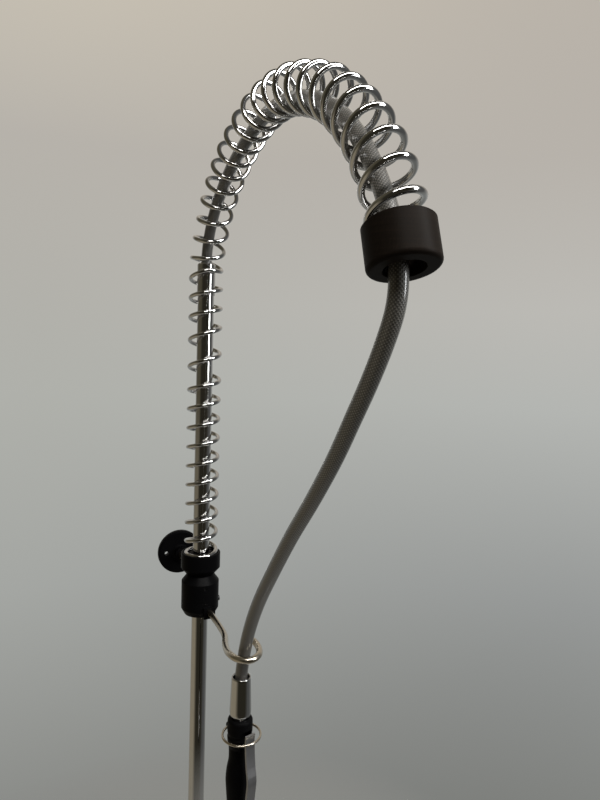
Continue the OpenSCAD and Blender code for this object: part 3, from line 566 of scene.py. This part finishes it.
class Palette:
    """Every finish of the faucet."""

    CHROME = PolishedMetal("mirror_chrome", Slot.CHROME, (0.57, 0.565, 0.56), 0.07)
    BRASS = MachinedMetal("plain_brass", Slot.BRASS, (0.72, 0.53, 0.26), 0.24)
    STEEL = MachinedMetal("plated_steel", Slot.STEEL, (0.62, 0.62, 0.63), 0.2)
    BLACKED_STEEL = MachinedMetal("blacked_steel", Slot.STEEL, (0.05, 0.05, 0.052), 0.3)
    STAINLESS = PolishedMetal(
        "warm_stainless", Slot.STAINLESS, (0.54, 0.49, 0.41), 0.2, spots=0.1, hairline=0.08
    )
    SATIN_BLACK = MouldedPlastic(
        "collar_black", Slot.SATIN_BLACK, (0.0022, 0.0022, 0.0024), 0.36, sheen=0.03
    )
    CAP_BLACK = TurnedPlastic(
        "turned_black", Slot.MATTE_BLACK, (0.007, 0.0057, 0.0047), 0.45, sheen=0.03
    )
    GRIP_BLACK = MouldedPlastic(
        "grip_black", Slot.MATTE_BLACK, (0.0022, 0.0022, 0.0024), 0.46, grain=0.3, sheen=0.04
    )
    RUBBER = MouldedPlastic("seal_rubber", Slot.RUBBER, (0.014, 0.014, 0.015), 0.66, grain=0.5)
    HOSE = BraidedSleeve("braided_sleeve", Slot.HOSE, (0.039, 0.037, 0.033), 0.3)
    LEVER = MachinedMetal("satin_lever", Slot.SATIN_GREY, (0.40, 0.40, 0.41), 0.3)
    BLUE = MouldedPlastic("cold_blue", Slot.BLUE, (0.02, 0.09, 0.42), 0.32, grain=0.1, worn=1.2)
    RED = MouldedPlastic("hot_red", Slot.RED, (0.5, 0.015, 0.012), 0.32, grain=0.1, worn=1.2)


class Route:
    """A smooth curve through chosen points, as in the part's source."""

    def __init__(self, points: Iterable[Sequence[float]]) -> None:
        """Keeps the points as vectors."""
        self.points = [Vector(p) for p in points]

    def _pick(self, i: int) -> Vector:
        """One of the route's points.

        Args:
            i: The point's number, which may be one past either end.

        Returns:
            The point, or beyond an end one that carries the line straight on.
        """
        p = self.points
        if i < 0:
            return 2.0 * p[0] - p[1]
        if i >= len(p):
            return 2.0 * p[-1] - p[-2]
        return p[i]

    def at(self, u: float) -> Vector:
        """The place at a parameter that counts points.

        Args:
            u: 0 at the first point, 1 at the second, and so on.

        Returns:
            The place.
        """
        i = min(int(math.floor(u)), len(self.points) - 2)
        t = u - i
        a, b, c, d = (self._pick(i + k) for k in (-1, 0, 1, 2))
        cubic = 3.0 * b - a - 3.0 * c + d
        return (2.0 * b + (c - a) * t + (2.0 * a - 5.0 * b + 4.0 * c - d) * t * t + cubic * t**3) / 2.0

    def sampled(self, steps: int) -> list[Vector]:
        """Places along the curve, with a number of steps between points."""
        return [self.at(k / steps) for k in range((len(self.points) - 1) * steps + 1)]


class Line:
    """A line of many points whose lengths are known."""

    def __init__(self, points: Sequence[Vector]) -> None:
        """Measures the line up to each of its points.

        Args:
            points: The line's points, in order.
        """
        self.points = list(points)
        self.reach = [0.0]
        for a, b in zip(self.points, self.points[1:]):
            self.reach.append(self.reach[-1] + (b - a).length)

    @property
    def length(self) -> float:
        """The whole line's length."""
        return self.reach[-1]

    def spot(self, s: float) -> Vector:
        """The place at a distance from the line's start.

        Args:
            s: The distance, held to the line's ends.

        Returns:
            The place.
        """
        s = min(max(s, 0.0), self.length)
        low, high = 0, len(self.reach) - 1
        while high - low > 1:
            mid = (low + high) // 2
            low, high = (mid, high) if self.reach[mid] <= s else (low, mid)
        share = (s - self.reach[low]) / (self.reach[high] - self.reach[low])
        return self.points[low].lerp(self.points[high], share)

    def spread(self, gap: float) -> "Line":
        """The line with its points placed anew at equal distances.

        Args:
            gap: The wanted distance between points.

        Returns:
            The new line, with the same ends.
        """
        count = max(2, round(self.length / gap))
        return Line([self.spot(self.length * k / count) for k in range(count + 1)])


class MeshMaker:
    """Makes mesh objects and dresses them."""

    RUN_MAP = "run"

    @staticmethod
    def place(name: str, mesh: bpy.types.Mesh, finish: Finish, sharp: float = 40.0) -> bpy.types.Object:
        """Puts a mesh in the scene.

        Args:
            name: The object's name.
            mesh: Its mesh, in the frame that all pieces share.
            finish: Its finish.
            sharp: Edges over this angle in degrees stay crisp.

        Returns:
            The object.
        """
        mesh.materials.clear()
        mesh.materials.append(finish.material())
        mesh.polygons.foreach_set("use_smooth", [True] * len(mesh.polygons))
        mesh.set_sharp_from_angle(angle=math.radians(sharp))
        obj = bpy.data.objects.new(name, mesh)
        bpy.context.scene.collection.objects.link(obj)
        return obj

    @classmethod
    def tube(
        cls, name: str, line: Line, radii: Sequence[float], sides: int, side: Vector
    ) -> bpy.types.Mesh:
        """A tube along a line, with a map that runs round it and along it.

        Args:
            name: The mesh's name.
            line: Its centre line.
            radii: Its radius at each point.
            sides: Number of sides.
            side: A direction that the line never follows.

        Returns:
            The mesh, closed at both ends.
        """
        spots, reach = line.points, line.reach
        last = len(spots) - 1
        verts: list[Vector] = []
        for i, spot in enumerate(spots):
            t = (spots[min(i + 1, last)] - spots[max(i - 1, 0)]).normalized()
            n = (side - side.dot(t) * t).normalized()
            b = t.cross(n)
            for j in range(sides):
                a = math.tau * j / sides
                verts.append(spot + radii[i] * (math.cos(a) * n + math.sin(a) * b))
        faces, runs = [], []
        for i in range(last):
            for j in range(sides):
                k = (j + 1) % sides
                faces.append((i * sides + j, i * sides + k, (i + 1) * sides + k, (i + 1) * sides + j))
                u0, u1 = j / sides, (j + 1) / sides
                runs += [(u0, reach[i]), (u1, reach[i]), (u1, reach[i + 1]), (u0, reach[i + 1])]
        faces.append(tuple(range(sides - 1, -1, -1)))
        faces.append(tuple(range(last * sides, (last + 1) * sides)))
        runs += [(0.0, 0.0)] * (2 * sides)
        mesh = bpy.data.meshes.new(name)
        mesh.from_pydata([tuple(v) for v in verts], [], faces)
        layer = mesh.uv_layers.new(name=cls.RUN_MAP)
        layer.data.foreach_set("uv", [x for pair in runs for x in pair])
        mesh.validate()
        return mesh

    @staticmethod
    def lathe(name: str, outline: Sequence[Point2], where: Matrix, sides: int) -> bpy.types.Mesh:
        """Turns a closed outline about an axis.

        Args:
            name: The mesh's name.
            outline: Closed outline of (radius, height) in metres, all radii over 0, anticlockwise.
            where: Takes the axis, local Z, to its place.
            sides: Number of sides.

        Returns:
            The mesh.
        """
        angles = [math.tau * j / sides for j in range(sides)]
        spots = [(r * math.cos(a), r * math.sin(a), z) for r, z in outline for a in angles]
        verts = [where @ Vector(spot) for spot in spots]
        faces = []
        for i in range(len(outline)):
            k = (i + 1) % len(outline)
            for j in range(sides):
                m = (j + 1) % sides
                faces.append((i * sides + j, i * sides + m, k * sides + m, k * sides + j))
        mesh = bpy.data.meshes.new(name)
        mesh.from_pydata([tuple(v) for v in verts], [], faces)
        mesh.validate()
        return mesh


class WindingTree:
    """A Geometry Nodes tree that winds a wire round its input's line of points."""

    NAME = "wire_winding"
    HEADING = "heading"

    def __init__(self) -> None:
        """Finds the tree, or builds it on first use."""
        found = bpy.data.node_groups.get(self.NAME)
        self.tree = found if found is not None else self._build()

    def _build(self) -> bpy.types.NodeTree:
        """Builds the tree.

        Returns:
            The tree, with named inputs for its sizes.
        """
        tree = bpy.data.node_groups.new(self.NAME, "GeometryNodeTree")
        face = tree.interface
        face.new_socket("Line", in_out="INPUT", socket_type="NodeSocketGeometry")
        for name in ("Coil Radius", "Wire Radius", "Start Angle", "Angle Step"):
            face.new_socket(name, in_out="INPUT", socket_type="NodeSocketFloat")
        face.new_socket("Wire Sides", in_out="INPUT", socket_type="NodeSocketInt")
        face.new_socket("Finish", in_out="INPUT", socket_type="NodeSocketMaterial")
        face.new_socket("Wire", in_out="OUTPUT", socket_type="NodeSocketGeometry")
        nodes = ShaderNodes(tree)
        given = nodes.add("NodeGroupInput").outputs

        def step(kind: str, inputs: dict[Union[str, int], Any], **settings: Any) -> Any:
            """Adds one node and gives its first output."""
            return nodes.add(kind, settings, inputs).outputs[0]

        stored = {"Name": self.HEADING}
        heading = step("GeometryNodeInputNamedAttribute", stored, data_type="FLOAT_VECTOR")
        count = Value(nodes, step("GeometryNodeInputIndex", {}))
        angle = count * Value(nodes, given["Angle Step"]) + Value(nodes, given["Start Angle"])
        sideways = {0: heading, 1: (1.0, 0.0, 0.0)}
        across = step("ShaderNodeVectorMath", sideways, operation="CROSS_PRODUCT")
        out = step("ShaderNodeVectorMath", {0: across}, operation="NORMALIZE")
        turned = {"Vector": out, "Axis": heading, "Angle": angle}
        spoke = step("ShaderNodeVectorRotate", turned, rotation_type="AXIS_ANGLE")
        scaled = {0: spoke, "Scale": given["Coil Radius"]}
        shift = step("ShaderNodeVectorMath", scaled, operation="SCALE")
        line = step("GeometryNodeMeshToCurve", {0: given["Line"]})
        moved = step("GeometryNodeSetPosition", {"Geometry": line, "Offset": shift})
        section = {"Resolution": given["Wire Sides"], "Radius": given["Wire Radius"]}
        ring = step("GeometryNodeCurvePrimitiveCircle", section)
        swept = {"Curve": moved, "Profile Curve": ring, "Fill Caps": True}
        wire = step("GeometryNodeCurveToMesh", swept)
        real = step("GeometryNodeRealizeInstances", {0: wire})
        dressed = step("GeometryNodeSetMaterial", {0: real, "Material": given["Finish"]})
        nodes.add("NodeGroupOutput", {}, {0: dressed})
        return tree

    def wind(
        self,
        name: str,
        centres: Sequence[Vector],
        headings: Sequence[Vector],
        sizes: dict[str, Any],
        finish: Finish,
    ) -> bpy.types.Object:
        """Winds one wire and makes it a plain mesh.

        Args:
            name: The piece's name.
            centres: Centre of the coil for each point of the wire.
            headings: The coil's axis there.
            sizes: The tree's inputs by name.
            finish: The wire's finish.

        Returns:
            The piece.
        """
        seed = bpy.data.meshes.new(name + "_line")
        seed.from_pydata([tuple(c) for c in centres], [(i, i + 1) for i in range(len(centres) - 1)], [])
        held = seed.attributes.new(self.HEADING, "FLOAT_VECTOR", "POINT")
        held.data.foreach_set("vector", [x for h in headings for x in h])
        worker = bpy.data.objects.new(name + "_line", seed)
        bpy.context.scene.collection.objects.link(worker)
        modifier = worker.modifiers.new("winding", "NODES")
        modifier.node_group = self.tree
        named = {i.name: i.identifier for i in self.tree.interface.items_tree if i.in_out == "INPUT"}
        for key, given in {**sizes, "Finish": finish.material()}.items():
            modifier[named[key]] = given
        graph = bpy.context.evaluated_depsgraph_get()
        mesh = bpy.data.meshes.new_from_object(worker.evaluated_get(graph))
        worker.modifiers.clear()
        bpy.data.objects.remove(worker)
        bpy.data.meshes.remove(seed)
        mesh.name = name
        return MeshMaker.place(name, mesh, finish)


@dataclass(frozen=True)
class Lamp:
    """One soft lamp: where it hangs, what it faces, and its size, power and colour."""

    name: str
    at: Point3
    aim: Point3
    size: Point2
    power: float
    colour: Colour

    def hang(self) -> None:
        """Adds the lamp to the scene."""
        data = bpy.data.lights.new(self.name, "AREA")
        data.shape = "RECTANGLE"
        data.size, data.size_y = self.size
        data.energy = self.power
        data.color = self.colour
        lamp = bpy.data.objects.new(self.name, data)
        lamp.location = self.at
        lamp.rotation_mode = "QUATERNION"
        lamp.rotation_quaternion = (Vector(self.aim) - Vector(self.at)).to_track_quat("-Z", "Y")
        bpy.context.scene.collection.objects.link(lamp)


@dataclass
class Studio:
    """Camera, light, world and floor.

    The walls' stops are heights and colours. A ramp or a fade is where it starts and how fast it rises.
    """

    eye: Point3 = (-0.2088, -0.7107, 0.850)
    azimuth: float = -25.5
    pitch: float = 4.19
    roll: float = 1.808
    lens: float = 27.0
    sensor: float = 36.0
    floor_z: float = -0.0785
    floor_r: float = 0.7
    floor_sides: int = 96
    floor_colour: Colour = (0.44, 0.437, 0.42)
    floor_fade: Point2 = (0.15, 2.0)
    wall_left: tuple[tuple[float, Colour], ...] = (
        (0.19, (0.27, 0.275, 0.26)),
        (0.325, (0.37, 0.38, 0.362)),
        (0.465, (0.43, 0.435, 0.405)),
        (0.65, (0.47, 0.445, 0.405)),
        (0.76, (0.60, 0.55, 0.46)),
    )
    wall_right: tuple[tuple[float, Colour], ...] = (
        (0.19, (0.165, 0.17, 0.16)),
        (0.325, (0.305, 0.315, 0.31)),
        (0.465, (0.455, 0.465, 0.445)),
        (0.54, (0.50, 0.49, 0.46)),
        (0.65, (0.475, 0.445, 0.405)),
        (0.76, (0.48, 0.44, 0.39)),
    )
    wall_ramp: Point2 = (0.33, 2.4)
    wall_change_ramp: Point2 = (0.6, 4.0)
    wall_change: float = 1.25
    dim_side: Colour = (0.10, 0.089, 0.06)
    warm_side: Colour = (0.32, 0.28, 0.205)
    warm_ramp: Point2 = (-0.06, -3.0)
    cool_side: Colour = (0.105, 0.107, 0.105)
    side_change: float = 1.2
    room: Colour = (0.03, 0.027, 0.019)
    room_ramp: Point2 = (-0.3, -2.4)
    room_lean: float = 0.3
    lamps: tuple[Lamp, ...] = (
        Lamp("window", (1.1, -1.28, 1.35), (0.0, -0.2, 0.8), (0.3, 1.3), 18.0, (0.97, 0.99, 1.0)),
        Lamp("ceiling", (0.2, -1.25, 2.1), (0.0, -0.2, 0.8), (2.2, 0.3), 38.0, (1.0, 0.98, 0.95)),
    )

    def build(self) -> None:
        """Sets up everything that isn't the object."""
        scene = bpy.context.scene
        scene.view_settings.view_transform = "Standard"
        scene.camera = self._camera()
        scene.world = self._world()
        for lamp in self.lamps:
            lamp.hang()
        self._floor()

    def _camera(self) -> bpy.types.Object:
        """The camera at the photograph's place.

        Returns:
            The camera's object.
        """
        az, e, r = (math.radians(x) for x in (self.azimuth, self.pitch, self.roll))
        ahead = Vector((-math.sin(az) * math.cos(e), math.cos(az) * math.cos(e), -math.sin(e)))
        right = ahead.cross(Vector((0, 0, 1))).normalized()
        up = right.cross(ahead)
        across = math.cos(r) * right + math.sin(r) * up
        upward = -math.sin(r) * right + math.cos(r) * up
        data = bpy.data.cameras.new("camera")
        data.lens = self.lens
        data.sensor_width = self.sensor
        camera = bpy.data.objects.new("camera", data)
        turn = Matrix((across, upward, -ahead)).transposed().to_4x4()
        camera.matrix_world = Matrix.Translation(self.eye) @ turn
        bpy.context.scene.collection.objects.link(camera)
        return camera

    def _world(self) -> bpy.types.World:
        """A pale wall ahead, a warm and a cool side, and a dim room behind the camera.

        Returns:
            The world.
        """
        world = bpy.data.worlds.new("studio")
        world.use_nodes = True
        nodes = ShaderNodes(world.node_tree)
        spot = nodes.value("ShaderNodeTexCoord", {}, {}, "Generated")
        parts = nodes.add("ShaderNodeSeparateXYZ", {}, {0: spot})
        x, y, z = (Value(nodes, parts.outputs[k]) for k in range(3))
        turn = math.radians(self.azimuth)
        ahead = y * math.cos(turn) - x * math.sin(turn)
        right = x * math.cos(turn) + y * math.sin(turn)
        height = z * 0.5 + 0.5
        left_wall, right_wall = (
            nodes.value("ShaderNodeValToRGB", {"stops": stops}, {0: height})
            for stops in (self.wall_left, self.wall_right)
        )
        across = right * ahead.ramp(*self.wall_change_ramp)
        pale = nodes.blend(across.split(self.wall_change), left_wall, right_wall)
        warm = nodes.blend(z.ramp(*self.warm_ramp), self.dim_side, self.warm_side)
        sides = nodes.blend(right.split(self.side_change), warm, self.cool_side)
        behind = (ahead - right * self.room_lean).ramp(*self.room_ramp)
        around = nodes.blend(behind, sides, self.room)
        seen = nodes.value("ShaderNodeLightPath", {}, {}, "Is Camera Ray")
        lit = nodes.blend(ahead.ramp(*self.wall_ramp).at_least(seen), around, pale)
        light = nodes.add("ShaderNodeBackground", {}, {"Color": lit, "Strength": 1.0})
        nodes.add("ShaderNodeOutputWorld", {}, {"Surface": light.outputs[0]})
        return world

    def _floor(self) -> None:
        """A pale round floor that fades out into the background."""
        angles = [math.tau * k / self.floor_sides for k in range(self.floor_sides)]
        rim = [(self.floor_r * math.cos(a), self.floor_r * math.sin(a), self.floor_z) for a in angles]
        mesh = bpy.data.meshes.new("floor")
        mesh.from_pydata(rim, [], [tuple(range(self.floor_sides))])
        made = bpy.data.materials.new("floor")
        made.use_nodes = True
        nodes = ShaderNodes(made.node_tree)
        spot = nodes.value("ShaderNodeTexCoord", {}, {}, "Object")
        level = {0: spot, 1: (1.0, 1.0, 0.0)}
        flat = nodes.value("ShaderNodeVectorMath", {"operation": "MULTIPLY"}, level)
        away = nodes.value("ShaderNodeVectorMath", {"operation": "LENGTH"}, {0: flat}, "Value")
        fade = away.ramp(*self.floor_fade)
        pale = nodes.add("ShaderNodeBsdfDiffuse", {}, {"Color": _rgba(self.floor_colour)})
        clear = nodes.add("ShaderNodeBsdfTransparent")
        mixed = nodes.add("ShaderNodeMixShader", {}, {0: fade, 1: pale.outputs[0], 2: clear.outputs[0]})
        nodes.add("ShaderNodeOutputMaterial", {}, {"Surface": mixed.outputs[0]})
        mesh.materials.append(made)
        floor = bpy.data.objects.new("floor", mesh)
        bpy.context.scene.collection.objects.link(floor)


@dataclass
class Hose:
    """The braided hose from the riser to the gun, with its route as (y, z) in mm.

    The arch's heights are above the sleeve's top, and the free run's are above the collar.
    """

    radius: float = 6.4 * MM
    sides: int = 28
    start_z: float = 939.0
    end_rise: float = 25.0
    lead: float = 10.0
    touch: float = 0.02
    steps: int = 12
    gap: float = 3.0 * MM
    arch: tuple[Point2, ...] = (
        (0, 5), (-6, 25), (-20, 46), (-45, 68), (-86, 90), (-130, 104), (-165, 111), (-200, 112),
        (-238, 106), (-285, 89), (-322, 67), (-358, 34), (-383, 0), (-398.5, -30), (-405, -55),
        (-403.5, -76),
    )
    free: tuple[Point2, ...] = (
        (-393, 314), (-377, 289), (-358, 263), (-334, 231), (-302, 194), (-262, 151),
        (-220, 101), (-198, 73), (-181, 47), (-168, 22), (-159, -3),
    )

    def route(self) -> Route:
        """The hose's route.

        Returns:
            The route, in metres.
        """
        points = [(0.0, 0.0, self.start_z + self.touch), (0.0, 0.0, self.start_z + self.lead)]
        points += [(0.0, y, z + SLEEVE_TOP) for y, z in self.arch]
        points += [(0.0, y, z + COLLAR_Z) for y, z in self.free]
        points += [(0.0, GUN_Y, HOSE_END_Z + rise) for rise in (self.end_rise, self.lead, self.touch)]
        return Route([tuple(c * MM for c in p) for p in points])

    def build(self) -> bpy.types.Object:
        """Lays the hose.

        Returns:
            The hose's object.
        """
        line = Line(self.route().sampled(self.steps)).spread(self.gap)
        radii = [self.radius] * len(line.points)
        mesh = MeshMaker.tube("hose_run", line, radii, self.sides, Vector((1, 0, 0)))
        hose = MeshMaker.place("hose_run", mesh, Palette.HOSE)
        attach(hose, Body.OVERHEAD.value)
        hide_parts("hose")
        return hose


@dataclass
class OverheadSpring:
    """The tall spring that climbs the riser and carries the arch, in mm.

    The arch's points and the cap's middle are (y, z) above the sleeve's top. Each section is a number of
    turns and their pitch, and the last turns share the length that is left.
    """

    coil_r: float = 18.3
    wire_r: float = 2.5
    wire_sides: int = 16
    foot_z: float = 602.7
    top_lead: float = 20.0
    cap_mid: Point2 = (-407.0, -40.0)
    cap_tilt: float = 17.0
    cap_h: float = 29.0
    cap_floor: float = 10.5
    seat_gap: float = 0.1
    flat_turns: float = 0.65
    sections: tuple[Point2, ...] = ((9.1, 23.4), (2.0, 32.0), (11.3, 23.2), (8.0, 25.4))
    fall_turns: float = 6.3
    start_angle: float = 200.0
    per_turn: int = 40
    heading_reach: float = 3.0
    steps: int = 24
    arch: tuple[Point2, ...] = (
        (0, -5), (-14, 27), (-43, 64), (-83, 92), (-128, 110), (-164, 118), (-200, 119),
        (-240, 113), (-288, 95), (-326, 73), (-364, 39), (-389, 4),
    )

    def centre_line(self) -> Line:
        """The line that the coil is wound about.

        Returns:
            The line, in metres.
        """
        lean = math.radians(self.cap_tilt)
        axis = Vector((0.0, -math.sin(lean), -math.cos(lean)))
        middle = Vector((0.0, self.cap_mid[0], self.cap_mid[1] + SLEEVE_TOP))
        seat = middle + (self.cap_h / 2 - self.cap_floor - self.wire_r - self.seat_gap) * axis
        mouth = middle - self.cap_h / 2 * axis
        foot = Vector((0.0, 0.0, self.foot_z))
        arch = [Vector((0.0, y, z + SLEEVE_TOP)) for y, z in self.arch]
        top = arch[0] - Vector((0.0, 0.0, self.top_lead))
        straight = [foot.lerp(top, k / 3) for k in range(4)]
        route = Route([*straight, *arch, mouth, (mouth + 2.0 * seat) / 3.0, seat])
        return Line([p * MM for p in route.sampled(self.steps)])

    def build(self) -> bpy.types.Object:
        """Winds the spring.

        Returns:
            The spring's object.
        """
        line = self.centre_line()
        used = sum(turns * pitch for turns, pitch in self.sections) * MM
        fall = (self.fall_turns, (line.length - used) / self.fall_turns / MM)
        flat = (self.flat_turns, 0.0)
        sections = [flat, *self.sections, fall, flat]
        turns = sum(t for t, _ in sections)
        look = self.heading_reach * MM
        centres, headings = [], []
        for k in range(round(turns * self.per_turn) + 1):
            s = self._reach_at(sections, k / self.per_turn)
            centres.append(line.spot(s))
            headings.append((line.spot(s + look) - line.spot(s - look)).normalized())
        sizes = {
            "Coil Radius": self.coil_r * MM,
            "Wire Radius": self.wire_r * MM,
            "Start Angle": math.radians(self.start_angle - 360.0 * self.flat_turns),
            "Angle Step": math.tau / self.per_turn,
            "Wire Sides": self.wire_sides,
        }
        spring = WindingTree().wind("overhead_coil", centres, headings, sizes, Palette.CHROME)
        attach(spring, Body.OVERHEAD.value)
        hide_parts("overhead_spring")
        return spring

    @staticmethod
    def _reach_at(sections: Sequence[Point2], turn: float) -> float:
        """How far along its centre line the coil is after some turns.

        Args:
            sections: The coil's sections.
            turn: The number of turns.

        Returns:
            The distance, in metres.
        """
        done = 0.0
        for turns, pitch in sections:
            done += max(0.0, min(turn, turns)) * pitch
            turn -= turns
        return done * MM


@dataclass
class HookRod:
    """The bent rod that holds the hose, with its points in mm and their heights above the collar."""

    radius: float = 3.4 * MM
    sides: int = 24
    steps: int = 16
    gap: float = 1.5 * MM
    least_tip: float = 0.12
    sharp: float = 70.0
    points: tuple[Point3, ...] = (
        (5, -14, -10), (5, -40, -10), (5, -66, -10.5), (3, -90, -10), (-5, -116, -6),
        (-10.5, -138, -2), (-12.2, -153, 1), (-9.2, -167.5, 2.5), (1, -175, 3), (11.5, -170.5, 4),
        (16.5, -159, 5), (16.5, -146, 6), (11.5, -136.5, 6.5), (8, -134.5, 6.5),
    )

    def build(self) -> bpy.types.Object:
        """Bends the rod, with its free end rounded.

        Returns:
            The rod's object.
        """
        route = Route([(x * MM, y * MM, (z + COLLAR_Z) * MM) for x, y, z in self.points])
        line = Line(route.sampled(self.steps)).spread(self.gap)
        radii = []
        for done in line.reach:
            left = min(1.0, max(0.0, (line.length - done) / self.radius))
            radii.append(self.radius * max(self.least_tip, math.sqrt(1.0 - (1.0 - left) ** 2)))
        mesh = MeshMaker.tube("hook_rod", line, radii, self.sides, Vector((0, 0, 1)))
        rod = MeshMaker.place("hook_rod", mesh, Palette.STAINLESS, self.sharp)
        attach(rod, Body.OVERHEAD.value)
        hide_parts("hose_hook")
        return rod


def gun_frame() -> Matrix:
    """Takes the gun's own frame, lever towards X, to its place in metres."""
    turn = Matrix.Rotation(math.radians(GUN_FACING), 4, "Z")
    return Matrix.Translation((0.0, GUN_Y * MM, 0.0)) @ turn


@dataclass
class ConeNut:
    """The slim cone with a flared mouth and a rounded foot, as radii and heights in mm.

    The rim's heights are from the nut's top, and the foot's are from its underside.
    """

    top: float = 521.0
    underside: float = 474.0
    lip_r: float = 6.9
    chamber_r: float = 8.0
    neck_r: float = 9.3
    mouth_l: float = 8.0
    rim: tuple[Point2, ...] = (
        (8.3, -2.0), (8.5, -0.7), (9.0, 0.0), (9.6, 0.0), (10.0, -0.8), (10.1, -3.0),
    )
    foot: tuple[Point2, ...] = (
        (11.2, 12.0), (11.15, 10.0), (10.95, 8.3), (10.3, 6.5), (9.6, 5.4), (9.3, 4.4),
    )
    steps: int = 4
    sides: int = 96
    sharp: float = 35.0

    def build(self) -> bpy.types.Object:
        """Turns the nut.

        Returns:
            The nut's object.
        """
        rounded = [
            Route([(r, base + h, 0.0) for r, h in curve]).sampled(self.steps)
            for curve, base in ((self.rim, self.top), (self.foot, self.underside))
        ]
        outer = [(p.x, p.y) for curve in rounded for p in curve]
        inner = [
            (self.neck_r, self.underside),
            (self.chamber_r, self.underside),
            (self.chamber_r, HOSE_END_Z),
            (self.lip_r, HOSE_END_Z),
            (self.lip_r, self.top - self.mouth_l),
        ]
        outline = [(r * MM, h * MM) for r, h in reversed([*outer, *inner])]
        mesh = MeshMaker.lathe("cone_nut", outline, gun_frame(), self.sides)
        nut = MeshMaker.place("cone_nut", mesh, Palette.CHROME, self.sharp)
        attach(nut, Body.GUN.value)
        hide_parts("hose_cone_nut")
        return nut


@dataclass
class ReturnSpring:
    """The small spring behind the gun's valve stem, along the gun's X, in mm."""

    coil_r: float = 4.3
    wire_r: float = 0.6
    wire_sides: int = 10
    turns: int = 5
    per_turn: int = 24
    begin: float = -11.5
    end: float = -1.7
    plug_face: float = -12.2
    height: float = 328.2
    pressed: float = 0.82

    def build(self) -> bpy.types.Object:
        """Winds the spring.

        Returns:
            The spring's object.
        """
        where = gun_frame()
        count = self.turns * self.per_turn
        step = (self.end - self.begin) / count
        along = [self.begin + step * k for k in range(count + 1)]
        centres = [where @ Vector((x * MM, 0.0, self.height * MM)) for x in along]
        heading = where.to_3x3() @ Vector((1.0, 0.0, 0.0))
        sizes = {
            "Coil Radius": self.coil_r * MM,
            "Wire Radius": self.wire_r * MM,
            "Start Angle": 0.0,
            "Angle Step": math.tau / self.per_turn,
            "Wire Sides": self.wire_sides,
        }
        headings = [heading] * len(centres)
        spring = WindingTree().wind("return_coil", centres, headings, sizes, Palette.STEEL)
        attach(spring, Body.GUN.value)
        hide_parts("valve_spring")
        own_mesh(spring)
        return spring


@dataclass
class Dresser:
    """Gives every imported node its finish."""

    frame: dict[str, Any]
    finishes: dict[str, Finish] = field(
        default_factory=lambda: {
            Slot.CHROME.value: Palette.CHROME,
            Slot.BRASS.value: Palette.BRASS,
            Slot.STEEL.value: Palette.STEEL,
            Slot.STAINLESS.value: Palette.STAINLESS,
            Slot.SATIN_BLACK.value: Palette.SATIN_BLACK,
            Slot.MATTE_BLACK.value: Palette.GRIP_BLACK,
            Slot.RUBBER.value: Palette.RUBBER,
            Slot.HOSE.value: Palette.HOSE,
            Slot.SATIN_GREY.value: Palette.LEVER,
            Slot.BLUE.value: Palette.BLUE,
            Slot.RED.value: Palette.RED,
        }
    )
    special: dict[str, Finish] = field(
        default_factory=lambda: {
            "spring_end_cap": Palette.CAP_BLACK,
            "bracket_set_screw": Palette.BLACKED_STEEL,
            "hook_ring_screw": Palette.BLACKED_STEEL,
            "wall_set_screw": Palette.BLACKED_STEEL,
        }
    )

    def dress(self) -> int:
        """Assigns a finish to every node, its own or its slot's.

        Returns:
            The number of nodes dressed.
        """
        slots = {row["node"]: row["material_slot"] for row in self.frame["record"]["subparts"]}
        for name, obj in self.frame["nodes"].items():
            finish = self.special.get(name, self.finishes[slots[name]])
            obj.data.materials.clear()
            obj.data.materials.append(finish.material())
        return len(slots)


def main() -> None:
    """Builds the scene in order and reports each piece."""
    logging.basicConfig(level=logging.INFO, format="%(name)s: %(message)s")
    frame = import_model()
    Studio().build()
    makers: list[Callable[[], Any]] = [
        Hose().build,
        OverheadSpring().build,
        HookRod().build,
        ConeNut().build,
        ReturnSpring().build,
        Dresser(frame).dress,
    ]
    for make in makers:
        LOG.info("%s -> %s", make.__qualname__, make())


if __name__ == "__main__":
    main()
